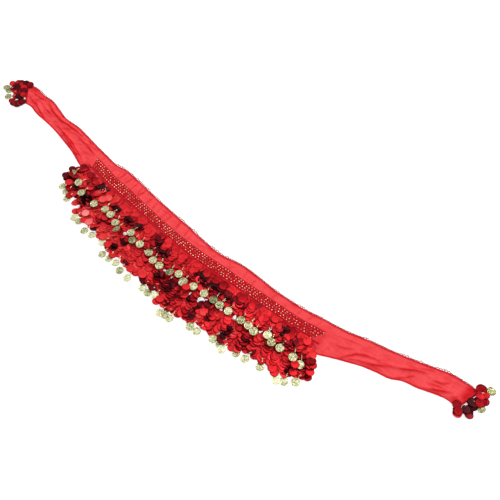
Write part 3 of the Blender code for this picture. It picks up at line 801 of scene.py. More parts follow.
GAP = 0.3
TAPE_WIDE, TAPE_HALF_THICK, TAPE_MIDDLE = 4.0, 0.75, 0.85
STRING_THREAD = 0.7
STRING_SHORTEST = 5.0
THREAD_STARTS = -1.5  # a string's thread begins this far up, inside its tape
THREAD_PAST = 8.0  # the thread of a plain string ends this far above its tip
THREAD_STEP = 3.5
THREAD_LIFT = 1.1  # the thread's height over its string's underside
STRING_BOW = 2.2
LEFT_LOWER = 7.0  # how much lower the upper tier's sequins begin in its left part, from here leftwards
LEFT_PART, LEFT_PART_FADE = -50, 60
SEQUIN_RADIUS = 10.0
SEQUIN_WALL = 0.26
SEQUIN_PITCH = 6.2
SEQUIN_SIDES = 16
SEQUIN_EDGE = 38.0  # degrees: rims sharper than this aren't smoothed
HOLE_AT = 0.78  # a sequin's hole, as a share of its radius
HOLE_RADIUS = 0.09  # another share of it
SEQUIN_TIP = 9.0  # degrees that its lower rim drops by
SEQUIN_LIFT = 1.5  # its height over its string's underside
UPPER_LOWEST = {"low_layer": 4.3, "high_layer": 5.7}  # the upper tier's sequins lie over its tape
TABLE_CLEAR = 0.5
FLIPS, SWINGS_FAR, DARK = 0.75, 0.22, 0.008  # shares of the sequins
LOOSE_ROLL = 2.0
COIN_RADIUS = 9.8
LAST_ABOVE_COIN = 23.0  # from a coin's middle to the middle of the last sequin over it
STRING_PITCH = 23.0
PLAIN_SHORTER = 9.0
WIDEST_GAP = 10.0
SLID_TOWARD, SLID_OVER = np.array((549.0, -601.0)), 1256.0
FAN_OUT, TIP_SPREAD = 24.0, 404.0
FRINGE_FROM, FRINGE_TO, FRINGE_NODES = -386, 380, 4
BARE_FROM, BARE_SLOPE = (350, -122), 1.0  # to the right of this place and above this slope the cloth is bare
BARE_ABOVE = -108
OPENING_CLEAR = 9.2  # how far a sequin's middle stays from an opening
DISC_OVERHANG = 1.5  # how far a dark sequin shows beyond the patch that it lies in
FAINTEST = 0.02  # a patch that counts for less than this leaves a sequin as it is
SHOWS_BELOW = 5.0  # the part of a sequin that the one above leaves bare is this far below its middle

# Where the coins hang: along and across.
UPPER_COINS = (
    (-402, -121), (-366, -134), (-337, -152), (-287, -157), (-253, -152), (-231, -155), (-205, -165),
    (-190, -177), (-154, -163), (-136, -177), (-114, -174), (-81, -178), (-59, -188), (-37, -190), (-6, -188),
    (15, -179), (36, -187), (63, -183), (95, -182), (122, -181), (142, -183), (167, -183), (204, -183),
    (225, -183), (243, -187), (273, -175), (290, -184), (313, -183), (348, -183), (370, -188),
)
LOWER_COINS = (
    (-390, -167), (-370, -174), (-353, -188), (-326, -180), (-297, -217), (-280, -218), (-249, -229),
    (-225, -227), (-190, -227), (-167, -250), (-146, -249), (-125, -248), (-103, -257), (-75, -261),
    (-29, -258), (-10, -260), (7, -256), (45, -281), (57, -278), (72, -278), (122, -265), (141, -265),
    (182, -257), (203, -259), (213, -265), (243, -252), (267, -250), (304, -245), (349, -248), (364, -240),
    (385, -226),
)
# How high a string lies, against how far below the band it is: one row for each bend.
Rise = namedtuple("Rise", "across low_layer high_layer")
UPPER_RISE = tuple(map(Rise._make, (
    (0, 1.9, 3.3), (4, 1.9, 3.5), (10, 1.9, 4.7), (18, 4.1, 7.1), (46, 7.2, 10.2),
)))
LOWER_RISE = tuple(map(Rise._make, ((0, 0.5, 2.0), (34, 0.5, 2.3), (44, 0.5, 3.6))))
# `first_row` is how far below the band the middles of a tier's first sequins are, and `between` how much
# further up (or down, below 0) the plain strings in its gaps end than their neighbours.
Tier = namedtuple("Tier", "name coins side_tips edge tape_under rises first_row between link_height")
UPPER_TIER = Tier(
    "upper", UPPER_COINS, ((-408, -145), (390, -186)), "band_low", 1.25, UPPER_RISE, 8, (-12, -3), 13.0)
LOWER_TIER = Tier("lower", LOWER_COINS, ((-404, -152), (402, -212)), "low", 0.1, LOWER_RISE, 54, (-4, 3), 6.6)

# Where painted reflection makes the foil darker or lighter: tone -1 is the painted black of a sequin that
# mirrors nothing, 0 plain red and 1 the painted pink of one that faces the light. `turned` is how far the
# sequins there are tipped up.
Patch = namedtuple("Patch", "along across half_along half_across tone turned")
PATCHES = tuple(map(Patch._make, (
    # upper tier, left to right
    (-385, -88, 10, 8, -0.34, 4), (-404, -124, 9, 18, -0.5, 10), (-403, -148, 9, 10, -0.4, 10),
    (-396, -104, 8, 7, -0.2, 0), (-366, -100, 10, 8, -0.3, 5), (-345, -97, 9, 8, -0.4, 5),
    (-312, -112, 13, 11, -0.85, 14), (-339, -114, 10, 10, -0.75, 8), (-357, -148, 9, 10, -0.85, 20),
    (-298, -119, 8, 6, 0.95, -4), (-286, -111, 8, 8, -0.85, 5), (-280, -136, 13, 12, 0.45, -6),
    (-262, -118, 12, 9, 0.3, -4), (-229, -136, 9, 12, -0.85, 16), (-246, -138, 6, 9, -0.15, 4),
    (-184, -140, 9, 12, -0.85, 22), (-178, -158, 8, 5, 0.3, -4), (-152, -142, 13, 5, -0.8, 24),
    (-128, -132, 16, 12, 0.1, -8), (-97, -145, 7, 8, -0.3, 5), (-82, -147, 11, 15, -0.85, 18),
    (-60, -160, 9, 9, -0.85, 16), (-42, -160, 9, 10, -0.75, 16), (-71, -158, 8, 8, 0.15, -6),
    (-47, -143, 6, 14, -0.5, 8), (5, -146, 9, 11, -0.42, 4), (28, -134, 14, 9, 0.05, -6),
    (56, -133, 8, 7, -0.25, 2), (62, -155, 17, 12, -0.72, 16), (107, -153, 20, 13, -0.72, 14),
    (112, -129, 9, 6, 0.32, -4), (145, -156, 9, 8, -0.9, 22), (167, -158, 9, 8, -0.88, 16),
    (185, -154, 8, 11, -0.45, 4), (148, -146, 9, 5, 0.12, -4), (234, -140, 16, 14, 0.02, -6),
    (297, -147, 11, 18, -0.8, 14), (275, -132, 12, 9, 0.08, -8), (341, -157, 8, 8, -0.6, 10),
    (322, -164, 9, 5, -0.7, 20), (350, -134, 10, 9, 0.08, -8), (376, -155, 11, 10, 0.12, -6),
    (384, -167, 7, 4, -0.25, 8), (395, -191, 10, 4, -0.2, 8), (396, -206, 9, 8, -0.15, 2),
    (362, -168, 8, 9, -0.45, 10), (-386, -131, 7, 7, -0.15, 0), (-264, -134, 8, 8, 0.5, -6),
    (42, -146, 7, 8, 0.0, -2), (33, -165, 8, 6, -0.6, 6), (48, -174, 8, 6, 0.05, 0),
    (112, -163, 8, 7, -0.8, 12), (214, -137, 8, 7, -0.3, 2), (276, -158, 8, 7, -0.6, 8),
    (-152, -126, 16, 9, 0.1, -6), (-178, -124, 10, 8, 0.08, -4),
    # lower tier, left to right
    (-312, -160, 15, 22, -0.9, 26), (-350, -163, 14, 9, 0.05, -4), (-332, -133, 10, 7, 0.0, -4),
    (-304, -147, 9, 8, 0.0, 0), (-286, -190, 7, 9, 0.62, -6), (-258, -203, 10, 10, 0.55, -8),
    (-238, -211, 8, 8, -0.62, 8), (-205, -216, 12, 11, 0.32, -8), (-172, -180, 12, 11, 0.1, -8),
    (-174, -221, 11, 11, 0.15, -8), (-160, -219, 5, 12, -0.85, 20), (-150, -190, 6, 12, -0.62, 14),
    (-90, -233, 14, 9, 0.35, -8), (-53, -228, 10, 10, 0.38, -6), (-106, -232, 8, 8, -0.4, 6),
    (-80, -203, 27, 15, 0.06, -4), (-16, -217, 12, 13, -0.72, 22), (-40, -242, 8, 9, -0.85, 4),
    (-11, -244, 9, 9, -0.62, 2), (24, -208, 13, 10, -0.85, 6), (22, -224, 14, 11, -0.62, 8),
    (-8, -226, 7, 9, 0.1, 4), (46, -238, 8, 22, -0.72, 12), (22, -256, 13, 9, 0.1, -8),
    (57, -258, 10, 9, -0.25, 0), (56, -196, 14, 9, 0.15, -8), (54, -236, 7, 7, 0.05, -6),
    (70, -228, 8, 6, 0.25, -4), (82, -211, 9, 10, -0.75, 12), (103, -236, 8, 17, -0.72, 12),
    (88, -248, 9, 11, -0.22, 2), (127, -191, 13, 9, -0.62, 2), (140, -219, 6, 13, -0.5, 16),
    (124, -219, 9, 8, 0.3, -8), (122, -238, 10, 8, 0.12, -8), (165, -222, 17, 26, 0.0, -8),
    (187, -198, 10, 8, 0.06, -8), (195, -229, 9, 22, -0.76, 14), (239, -222, 8, 18, -0.72, 12),
    (207, -216, 6, 9, 0.6, -4), (218, -242, 12, 10, 0.08, -6), (222, -205, 12, 16, -0.08, 8),
    (255, -208, 12, 9, -0.4, 8), (265, -232, 7, 8, -0.85, 8), (281, -222, 13, 16, 0.08, -8),
    (298, -186, 8, 9, -0.4, 12), (358, -211, 7, 15, -0.85, 14), (368, -210, 9, 13, 0.06, -4),
    (325, -206, 13, 9, 0.06, -6), (327, -232, 11, 9, 0.0, -4), (342, -222, 7, 10, 0.02, -2),
    (-246, -186, 8, 8, -0.35, 4), (-223, -177, 8, 7, -0.6, 8), (-169, -190, 9, 8, 0.1, -6),
    (-126, -186, 9, 8, 0.1, 0), (-73, -186, 7, 6, 0.0, 0), (-36, -210, 8, 10, -0.05, 0),
    (5, -231, 7, 7, -0.6, 6), (8, -212, 6, 7, -0.4, 4), (30, -237, 8, 7, -0.45, 6), (57, -222, 8, 8, -0.65, 8),
    (110, -211, 7, 8, -0.6, 6), (236, -200, 8, 9, 0.1, 0), (278, -187, 8, 7, 0.05, 0),
)))

# Openings between the tiers, where the surface below shows.
Opening = namedtuple("Opening", "along across half_along half_across")
OPENINGS = tuple(map(Opening._make, (
    (-164, -174, 6, 4), (-91, -182, 3, 2), (-18, -191, 4, 2), (10, -196, 5, 4), (34, -195, 7, 4),
    (69, -202, 2, 6), (96, -200, 4, 9), (111, -193, 5, 4), (152, -190, 4, 3), (189, -188, 6, 4),
    (255, -180, 3, 2), (185, -238, 1, 8),
    # notches in the lower tier's edge
    (-313, -188, 5, 5), (-290, -210, 4, 3), (-210, -228, 4, 3), (-118, -242, 4, 3), (-56, -248, 6, 5),
    (77, -270, 4, 3), (106, -266, 5, 5), (158, -257, 9, 5), (288, -241, 4, 4), (312, -238, 7, 5),
)))

# Sequins that lie turned over their neighbours and on top of them, as they slid: `hang` is the way that
# the lower rim points, in degrees from the right.
# Their `tone` is painted reflection, on the same scale as the patches'.
LooseSequin = namedtuple("LooseSequin", "along across hang tone turned over")
LOOSE_SEQUINS = {
    "upper": (
        (-410, -112, -120, -0.5, 3, 3.4), (-399, -124, -100, -0.36, 6, 4.6), (-409, -137, -130, -0.55, 5, 3.0),
        (-391, -99, -110, -0.3, 2, 2.6), (-388, -124, -80, -0.3, 8, 3.0), (361, -194, -95, -0.2, 2, 4.0),
        (393, -172, -70, -0.1, 2, 2.0), (397, -188, -75, -0.05, 2, 1.6), (384, -168, -85, -0.4, 0, 3.2),
        (-387, -148, -100, 0.16, 0, 2.4), (-331, -127, -80, 0.0, 2, 3.4), (-298, -119, 20, 1.0, 48, 5.0),
        (-270, -122, -60, 0.66, -4, 3.4), (-280, -134, -100, 0.6, -4, 4.2), (-391, -90, -140, -0.36, 2, 2.2),
        (50, -194, -90, 0.02, 0, 4.6), (352, -134, -90, 0.06, -2, 3.0), (264, -134, -90, 0.04, -2, 3.0),
        (-125, -134, -90, 0.06, -2, 2.6), (33, -134, -85, 0.02, -2, 2.6),
    ),
    "lower": (
        (-350, -166, -20, 0.0, 0, 3.6), (-284, -190, -60, 0.95, -4, 4.0), (-300, -193, -110, -0.1, 2, 2.6),
        (-259, -204, -80, 0.75, -4, 4.2), (-236, -170, -90, -0.06, 0, 3.4), (-201, -213, -110, 0.3, -4, 3.6),
        (-176, -222, -80, 0.05, 0, 3.6), (-86, -238, -90, 0.1, 0, 3.6), (-52, -232, -60, 0.3, -2, 3.8),
        (-38, -242, -100, -0.62, 2, 3.2), (-11, -243, -90, -0.5, 2, 3.4), (22, -255, -90, 0.04, -2, 4.0),
        (57, -256, -80, -0.16, 0, 3.6), (118, -197, -90, -0.56, 2, 4.4), (124, -219, -80, 0.36, -2, 4.0),
        (147, -216, -80, -0.12, 0, 3.4), (327, -231, -90, -0.02, 0, 3.4), (368, -210, -80, 0.02, 0, 3.6),
        (-30, -236, -90, -0.35, 2, 3.0), (20, -264, -90, 0.1, 0, 3.0), (-272, -207, -100, 0.1, 0, 3.0),
        (-355, -176, -100, -0.1, 0, 2.6), (-374, -160, -110, -0.2, 2, 2.6), (-146, -236, -90, 0.0, 0, 3.0),
        (336, -236, -95, -0.05, 0, 3.0), (197, -247, -90, -0.5, 0, 3.0),
    ),
}

HangingString = namedtuple("HangingString", "tier layer root tip coin bow")


def root_place(along):
    """Where a string starts: straight above its tip, but for a fan towards each end of the fringe."""
    return along - FAN_OUT * np.sign(along) * abs(along / TIP_SPREAD) ** 4


def tips_of_layer(tier, first, jitter):
    """Where one layer's strings end: its coins, and plain strings spread in the gaps between them."""
    ends = [(*place, True) for place in tier.coins[first::2]]
    for along, across in tier.side_tips:
        if min(abs(along - end[0]) for end in ends) >= STRING_PITCH:
            ends.append((along, across, False))
    ends.sort()
    filled = []
    for near, far in zip(ends, ends[1:]):
        room = min(far[0] - near[0], root_place(far[0]) - root_place(near[0]))
        count = int(room // STRING_PITCH) - 1
        for i in range(count):
            over = (i + 1) / (count + 1)
            across = near[1] + (far[1] - near[1]) * over + PLAIN_SHORTER + jitter.uniform(-6, 6)
            filled.append((near[0] + (far[0] - near[0]) * over, across, False))
    return sorted(ends + filled)


def strings_of(tier):
    """Every string of a tier, from its place on the tape to its tip."""
    jitter, bows = (np.random.default_rng(len(tier.coins) + more) for more in (0, 60))
    found = []
    for layer, first in (("low_layer", 1), ("high_layer", 0)):
        for along, across, coin in tips_of_layer(tier, first, jitter):
            start = root_place(along)
            root = np.array((start, float(line_at(tier.edge, start)) - GAP - TAPE_WIDE))
            tip = np.array((along, across), float)
            found.append(HangingString(tier, layer, root, tip, coin, bows.uniform(-STRING_BOW, STRING_BOW)))
    found.sort(key=lambda string: string.tip[0])
    # Plain strings fill every wider gap that is left.
    between = []
    for near, far in zip(found, found[1:]):
        if far.tip[0] - near.tip[0] >= WIDEST_GAP:
            ends = [string.tip + (0, PLAIN_SHORTER if string.coin else 0) for string in (near, far)]
            tip = (ends[0] + ends[1]) / 2 + (0, jitter.uniform(*tier.between))
            bow = bows.uniform(-STRING_BOW, STRING_BOW)
            between.append(HangingString(tier, "low_layer", (near.root + far.root) / 2, tip, False, bow))
    return found + between


def risen(tier, layer, away):
    """How high the strings of a layer lie, this far below the band or down the string."""
    rises = tier.rises
    return float(np.interp(away, [rise.across for rise in rises], [getattr(rise, layer) for rise in rises]))


def lie_of(tier, layer, place):
    """How high the underside of a tier's string is at a place."""
    return risen(tier, layer, float(line_at("band_low", place[0])) - place[1])


def reach_to_tip(string):
    """How long a string is."""
    return np.linalg.norm(string.tip - string.root)


def down(string, distance):
    """A place this far down a string, with its slight bow, and which way the string runs there."""
    reach = reach_to_tip(string)
    line = (string.tip - string.root) / reach
    side = np.array((line[1], -line[0]))
    share = np.clip(distance / reach, 0, 1)
    place = string.root + line * distance + side * string.bow * np.sin(np.pi * share)
    run = line + side * string.bow * np.pi / reach * np.cos(np.pi * share)
    return place, run / np.linalg.norm(run)


def settled(points):
    """Places in the fringe after it has slid a little to the right and down, the more the higher they lie."""
    points = np.array(points, float)
    points[:, :2] += (SLID_TOWARD - points[:, :2]) * points[:, 2:] / SLID_OVER
    return points


def off_openings(place):
    """This place, or the nearest one from which a sequin leaves every opening free."""
    for row in OPENINGS + OPENINGS:
        middle = np.array((row.along, row.across), float)
        reach = np.array((row.half_along, row.half_across)) + OPENING_CLEAR
        away = np.hypot(*((place - middle) / reach))
        if away < 1:
            place = middle + (place - middle) / max(away, 0.05)
    return place


def patched(place, tone, turned, patches, overhang, faintest):
    """The tone and the tip of a sequin here, after the patches have had their say."""
    for row in patches:
        shy = overhang if row.tone < -0.3 else 0
        reach = max(row.half_along - shy, 4), max(row.half_across - shy, 4)
        away = ((place[0] - row.along) / reach[0]) ** 2 + ((place[1] - row.across) / reach[1]) ** 2
        share = min(1.0, 1.5 * np.exp(-(away**1.5)))
        if share > faintest:
            tone += (row.tone - tone) * share
            turned += (row.turned - turned) * share
    return tone, turned


def swung(run, degrees):
    """A direction turned by this many degrees."""
    cos, sin = np.cos(np.radians(degrees)), np.sin(np.radians(degrees))
    return np.array((run[0] * cos - run[1] * sin, run[0] * sin + run[1] * cos))


def clear_of_table(high, turned, roll):
    """This height, or the lowest one at which a tipped and rolled sequin's rim is over the table."""
    tipped = np.sin(np.radians(abs(turned + SEQUIN_TIP) + 3))
    return max(high, TABLE_CLEAR + SEQUIN_RADIUS * np.hypot(tipped, np.sin(np.radians(roll))))


def sequins_down(string, start, end, luck):
    """Each sequin of a string: its middle, which way it hangs, its roll, its tip and its tone."""
    count = max(1, round((end - start) / SEQUIN_PITCH))
    upper = string.tier is UPPER_TIER
    # Painted light: each string's sequins are made darker the further right it hangs, standing in for how the
    # light falls across the fringe.
    tone_shift = (0.04 + 0.0003 * string.tip[0]) if upper else (0.0005 * string.tip[0] - 0.17)
    own_roll, own_tone, side = luck.normal(0, 3), luck.normal(-tone_shift, 0.05), luck.choice((-1, 1))
    rows = []
    for i in range(count + 1):
        # It hangs from its hole on the thread and swings to one side or the other.
        hole, run = down(string, start + (end - start) * i / count - HOLE_AT * SEQUIN_RADIUS)
        side = -side if luck.uniform() < FLIPS else side
        swing = luck.uniform(18, 38) if luck.uniform() < SWINGS_FAR else luck.uniform(2, 15)
        hang = swung(run, side * swing)
        place = off_openings(hole + hang * HOLE_AT * SEQUIN_RADIUS + luck.uniform(-0.8, 0.8, 2))
        # A few sequins, tipped further, get a painted dark reflection in their tone.
        dark = luck.uniform() < DARK
        tone, turned = patched(place + hang * SHOWS_BELOW, own_tone - 0.5 * dark, 8.0 if dark else 1.0,
                               PATCHES, DISC_OVERHANG, FAINTEST)
        tone += luck.normal(0.01, 0.08) if tone > -0.3 else luck.normal(0.04, 0.22)
        roll = own_roll + luck.normal(0, 4)
        high = lie_of(string.tier, string.layer, place) + SEQUIN_LIFT
        high += SEQUIN_RADIUS * np.sin(np.radians(max(turned, 0))) * 0.55
        if upper:
            high = max(high, UPPER_LOWEST[string.layer])
        bare = BARE_FROM[1] - BARE_SLOPE * (place[0] - BARE_FROM[0])
        if place[1] < min(BARE_ABOVE, bare) or place[0] < BARE_FROM[0]:
            rows.append(((*place, clear_of_table(high, turned, roll)), (*hang, 0.0), roll, turned, tone))
    return rows


def loose_row(row, high):
    """A sequin lying loose over this height, as `sequins_down` gives one."""
    hang = np.radians(row.hang)
    place = (row.along, row.across, high + row.over)
    return place, (np.cos(hang), np.sin(hang), 0.0), LOOSE_ROLL, row.turned, row.tone


def sequin_shape():
    """One sequin: a thin round of foil with a hole near its rim, bent very slightly."""
    n, half = SEQUIN_SIDES, SEQUIN_SIDES // 2
    turns = np.arange(n) / n * 2 * np.pi
    rim = np.stack([np.cos(turns), np.sin(turns)], -1)
    flat = np.concatenate([rim, rim[::2] * HOLE_RADIUS + (0, HOLE_AT)])
    bend = 0.05 * flat[:, 0] ** 2 + 0.02 * flat[:, 1] ** 2
    top, bottom = (np.column_stack([flat, side * SEQUIN_WALL / SEQUIN_RADIUS / 2 - bend]) for side in (1, -1))
    under = n + half
    faces = []
    for k in range(half):
        a, b, c = 2 * k, 2 * k + 1, (2 * k + 2) % n
        p, q = n + k, n + (k + 1) % half
        for face in ((a, b, p), (b, c, q, p)):
            faces += [face, [v + under for v in face][::-1]]
        faces.append((p, q, q + under, p + under))
    for k in range(n):
        faces.append(((k + 1) % n, k, k + under, (k + 1) % n + under))
    mesh = bpy.data.meshes.new("Sequin_shape")
    mesh.from_pydata(np.concatenate([top, bottom]).tolist(), [], faces)
    outward(mesh)
    # `below_hole` is how far each place is below the hole's end of the sequin, which the one above it covers;
    # the foil paints shade there.
    # `rim` is 1 on the rim and 0 at the hole, so that a narrow border can be told from the rest; the foil
    # paints a shadow line on it.
    store(mesh, below_hole=np.tile(0.5 - flat[:, 1] / 2, 2), rim=np.tile(np.repeat((1.0, 0.0), (n, half)), 2))
    made = placed("Sequin_shape", mesh)
    made.hide_render = True
    return made


def hung(tree, face, small):
    """The turn of a shape that hangs by its back from its string, its face this way, and a small turn more."""
    back = put(tree, "ShaderNodeVectorMath", {0: said_by(tree, "hang"), "Scale": -1.0}, operation="SCALE")
    axes = {0: face, 1: back.outputs[0]}
    turn = put(tree, "FunctionNodeAxesToRotation", axes, primary_axis="Z", secondary_axis="Y")
    more = put(tree, "FunctionNodeEulerToRotation", {0: small})
    turns = {0: turn.outputs[0], 1: more.outputs[0]}
    return put(tree, "FunctionNodeRotateRotation", turns, rotation_space="LOCAL").outputs[0]


def body_of(tree, given):
    """The shape that a tree copies."""
    return put(tree, "GeometryNodeObjectInfo", {"Object": given["Shape"]}).outputs["Geometry"]


def sequin_tree():
    """A sequin at each place: it hangs down the string, tipped so that its lower rim lies on the next one."""
    tree, given, out = new_tree("Sequins", Shape=None, Radius=0.01, Tip=6.0, Tip_spread=3.0, Turn_spread=12.0,
                                Tone_spread=0.06, Seed=1, Finish=None)

    def either_way(name, shift):
        return chance(tree, maths(tree, "MULTIPLY", given[name], -1.0), given[name], given["Seed"], shift)

    tip = maths(tree, "ADD", given["Tip"], said_by(tree, "turned", "FLOAT"))
    tip = maths(tree, "MULTIPLY", maths(tree, "ADD", tip, either_way("Tip spread", 1)), -1.0)
    turns = (tip, said_by(tree, "roll", "FLOAT"), either_way("Turn spread", 2))
    small = sized(tree, *(maths(tree, "RADIANS", degrees) for degrees in turns))
    tone = maths(tree, "ADD", said_by(tree, "tone", "FLOAT"), either_way("Tone spread", 3))
    inputs = {"Geometry": given["Geometry"], "Name": "tone", "Value": tone}
    toned = put(tree, "GeometryNodeStoreNamedAttribute", inputs).outputs[0]
    size = sized(tree, *[given["Radius"]] * 3)
    shapes = stood(tree, toned, body_of(tree, given), hung(tree, (0, 0, 1), small), size)
    return end_tree(tree, shapes, given["Finish"], out, smooth=False)


def ramp(tree, share, *stops):
    """A colour between those of these stops, each a place, a red, a green and a blue."""
    node = put(tree, "ShaderNodeValToRGB", {"Fac": share})
    for _ in stops[2:]:
        node.color_ramp.elements.new(0.5)
    for element, (place, *colour) in zip(node.color_ramp.elements, stops):
        element.position, element.color = place, (*colour, 1)
    return node.outputs["Color"]


def foil_finish():
    """Red metal foil under clear plastic: mirrors softly, with fine scuffs; its colour carries painted
    reflection from `tone`, painted shade towards its hole and a painted shadow line round its rim.
    """
    finish, tree = new_finish(
        "Red_sequin_foil", Metallic=0.8, Specular_IOR_Level=0.2, Coat_Weight=0.02, Coat_Roughness=0.25)
    where = put(tree, "ShaderNodeTexCoord").outputs["Object"]
    mottle, scuff = noise(tree, where, 130.0), noise(tree, where, 700.0, 3.0)
    toned = maths(tree, "ADD", stored(tree, "tone"), spread(tree, mottle, -0.12, 0.12))
    # Painted shade: darker towards the hole, under the sequin above, and a dark painted shadow line round the
    # rim.
    toned = maths(tree, "ADD", toned, spread(tree, stored(tree, "below_hole"), -0.10, 0.03, 0.25, 0.8))
    toned = maths(tree, "ADD", toned, spread(tree, stored(tree, "rim"), 0.0, -0.40, 0.86, 0.93))
    colour = ramp(
        tree, spread(tree, toned, start=-1.0),
        (0.0, 0.025, 0.003, 0.005), (0.12, 0.06, 0.002, 0.005), (0.27, 0.17, 0.002, 0.006),
        (0.38, 0.46, 0.005, 0.010), (0.47, 0.74, 0.020, 0.026), (0.62, 0.84, 0.034, 0.040),
        (0.82, 0.96, 0.12, 0.12), (1.0, 1.0, 0.34, 0.33),
    )
    return dressed(finish, Base_Color=colour, Roughness=spread(tree, scuff, 0.32, 0.48),
                   Normal=bump(tree, scuff, 0.08, 0.0002, bump(tree, mottle, 0.25, 0.0012)))


red_foil = foil_finish()
one_sequin = sequin_shape()
sequins = sequin_tree()


def between_roots(bound, roots):
    """The middle of the widest gap between two roots near this place."""
    gaps = [(far - near, (near + far) / 2) for near, far in zip(roots, roots[1:])]
    return max(gap for gap in gaps if abs(gap[1] - bound) < STRING_PITCH)[1]


def rounded(piece, sharpest):
    """Smooths a piece but for its edges sharper than this many degrees."""
    piece.data.shade_smooth()
    piece.data.set_sharp_from_angle(angle=np.radians(sharpest))


def sequin_piece(name, rows, seed):
    """The sequins of one stretch as a piece."""
    places, hangs, rolls, turned, tones = zip(*rows)
    piece = grown(
        name, guide_mesh(settled(places), hang=hangs, roll=rolls, turned=turned, tone=tones),
        sequins, Shape=one_sequin, Radius=SEQUIN_RADIUS * MM, Tip=SEQUIN_TIP, Tip_spread=3.0, Turn_spread=6.0,
        Tone_spread=0.05, Seed=seed, Finish=red_foil,
    )
    rounded(piece, SEQUIN_EDGE)
    return piece


def tape_piece(name, line, under, finish):
    """A flat net tape along a line, this high over the table."""
    centres = np.column_stack([line, np.full(len(line), under + TAPE_MIDDLE)])
    return swept(name, centres, TAPE_WIDE / 2, TAPE_HALF_THICK, finish, 0.06)


bounds_along = np.linspace(FRINGE_FROM, FRINGE_TO, FRINGE_NODES + 1)
tier_strings = {tier.name: strings_of(tier) for tier in (UPPER_TIER, LOWER_TIER)}
for tier in (UPPER_TIER, LOWER_TIER):
    strings = tier_strings[tier.name]
    roots = sorted(string.root[0] for string in strings)
    bounds = [FRINGE_FROM] + [between_roots(bound, roots) for bound in bounds_along[1:-1]] + [FRINGE_TO]
    luck = np.random.default_rng(70 + len(tier.coins))
    for index, (start, end) in enumerate(zip(bounds, bounds[1:])):
        rows = []
        for string in strings:
            if not start <= string.root[0] < end:
                continue
            reach = reach_to_tip(string)
            below = float(line_at("band_low", string.root[0])) - tier.first_row + luck.uniform(-2, 3)
            if tier is UPPER_TIER:
                below -= LEFT_LOWER * np.clip((LEFT_PART - string.root[0]) / LEFT_PART_FADE, 0, 1)
            sequins_from = (string.root[1] - below) * reach / (string.root[1] - string.tip[1])
            sequins_from = max(sequins_from, STRING_SHORTEST)
            sequins_to = reach - (LAST_ABOVE_COIN if string.coin else SEQUIN_RADIUS)
            if sequins_to > sequins_from:
                rows += sequins_down(string, sequins_from, sequins_to, luck)
        for row in map(LooseSequin._make, LOOSE_SEQUINS[tier.name]):
            if start <= np.clip(row.along, FRINGE_FROM, FRINGE_TO - 1) < end:
                rows.append(loose_row(row, lie_of(tier, "high_layer", (row.along, row.across))))
        piece = sequin_piece(f"{tier.name}_sequins_{index + 1}", rows, 11 + index)
        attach(piece, "root")
        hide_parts(f"{tier.name}_fringe_{index + 1}")

# The tapes that the strings hang from, and the strings' own threads down to their sequins and coins.
red_tape = net_finish("Red_tape", ((0.44, 0.003, 0.010, 1), (0.56, 0.006, 0.015, 1)),
                      ((0.64, 0.008, 0.020, 1), (0.76, 0.012, 0.028, 1)))
for tier in (UPPER_TIER, LOWER_TIER):
    x = np.arange(FRINGE_FROM + 1.0, FRINGE_TO, 3.0)
    y = line_at(tier.edge, x) - GAP - TAPE_WIDE / 2 + 0.25 * ripple(x, 0 * x, 22, 91)
    tape = tape_piece(f"{tier.name}_tape", np.stack([x, y], -1), tier.tape_under, red_tape)
    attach(tape, "root")


def thread_path(string, end, count, height):
    """Places down a string's thread: `height` says how high it is at a place and a distance down."""
    distances = np.linspace(THREAD_STARTS, end, count)
    return [(*down(string, distance)[0], height(down(string, distance)[0], distance)) for distance in distances]


def threads_piece(name, paths, thickness, finish):
    """Threads along these paths as one piece."""
    chains, places = [], []
    for path in paths:
        chains.append((len(places), len(path)))
        places += list(settled(path))
    return grown(name, guide_mesh(places, chains), threads, Thread=thickness * MM, Finish=finish)


for tier in (UPPER_TIER, LOWER_TIER):
    paths = []
    for string in tier_strings[tier.name]:
        end = reach_to_tip(string) - (LAST_ABOVE_COIN if string.coin else THREAD_PAST)
        count = max(3, round((end - THREAD_STARTS) / THREAD_STEP))
        paths.append(thread_path(
            string, end, count, lambda place, _: lie_of(tier, string.layer, place) + THREAD_LIFT))
    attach(threads_piece(f"{tier.name}_threads", paths, STRING_THREAD, red_thread), "root")

# Seed-bead swags from string to string of the lower tier, which show in the openings above its sequins.
SWAG_DROP = 37.0
SWAG_DEEP, SWAG_LONG = 4.5, 23.0
SWAG_FROM, SWAG_TO, SWAG_BEAD_PITCH = -300, 330, 2.1
SWAG_BEAD, SWAG_THREAD = 1.9, 0.6
swag_paths, swag_beads = [], []
luck = np.random.default_rng(97)
for drop, height in ((SWAG_DROP, 3.0), (SWAG_DROP + 5, 3.8)):
    x = np.arange(SWAG_FROM, SWAG_TO, SWAG_BEAD_PITCH)
    hanging = SWAG_DEEP * np.abs(np.sin((x + drop * 2) / SWAG_LONG * np.pi))
    y = line_at("low", x) - drop - hanging + 0.5 * ripple(x, 0 * x, 30, 98)
    path = np.stack([x, y, height + 0.4 * ripple(x, 0 * x, 17, 99)], -1)
    swag_paths.append(path)
    swag_beads.append(path[luck.uniform(size=len(path)) > 0.3])
swag_threads = threads_piece("swag_threads", swag_paths, SWAG_THREAD, red_thread)
red_glass = bead_finish("Red_glass_beads", (0.32, 0.006, 0.014, 1), (0.95, 0.40, 0.42, 1), 0.12, 0.2)
swag_beads = np.concatenate(swag_beads)
swag_seed_beads = grown(
    "swag_seed_beads", guide_mesh(swag_beads, shine=shines(luck, 0.35, 0.35, len(swag_beads))),
    beads, Bead=SWAG_BEAD * MM, Squash=0.95, Size_spread=0.12, Seed=9, Finish=red_glass,
)
for piece in (swag_threads, swag_seed_beads):
    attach(piece, "root")

# ---------------------------------------------------------------------------------------------------
# The tassels at the two ends
# Seven short strings of the same sequins, sewn to a tape on each slanted end of the chiffon.
# They lie as they fell when the scarf was put down, fanned out round the end.

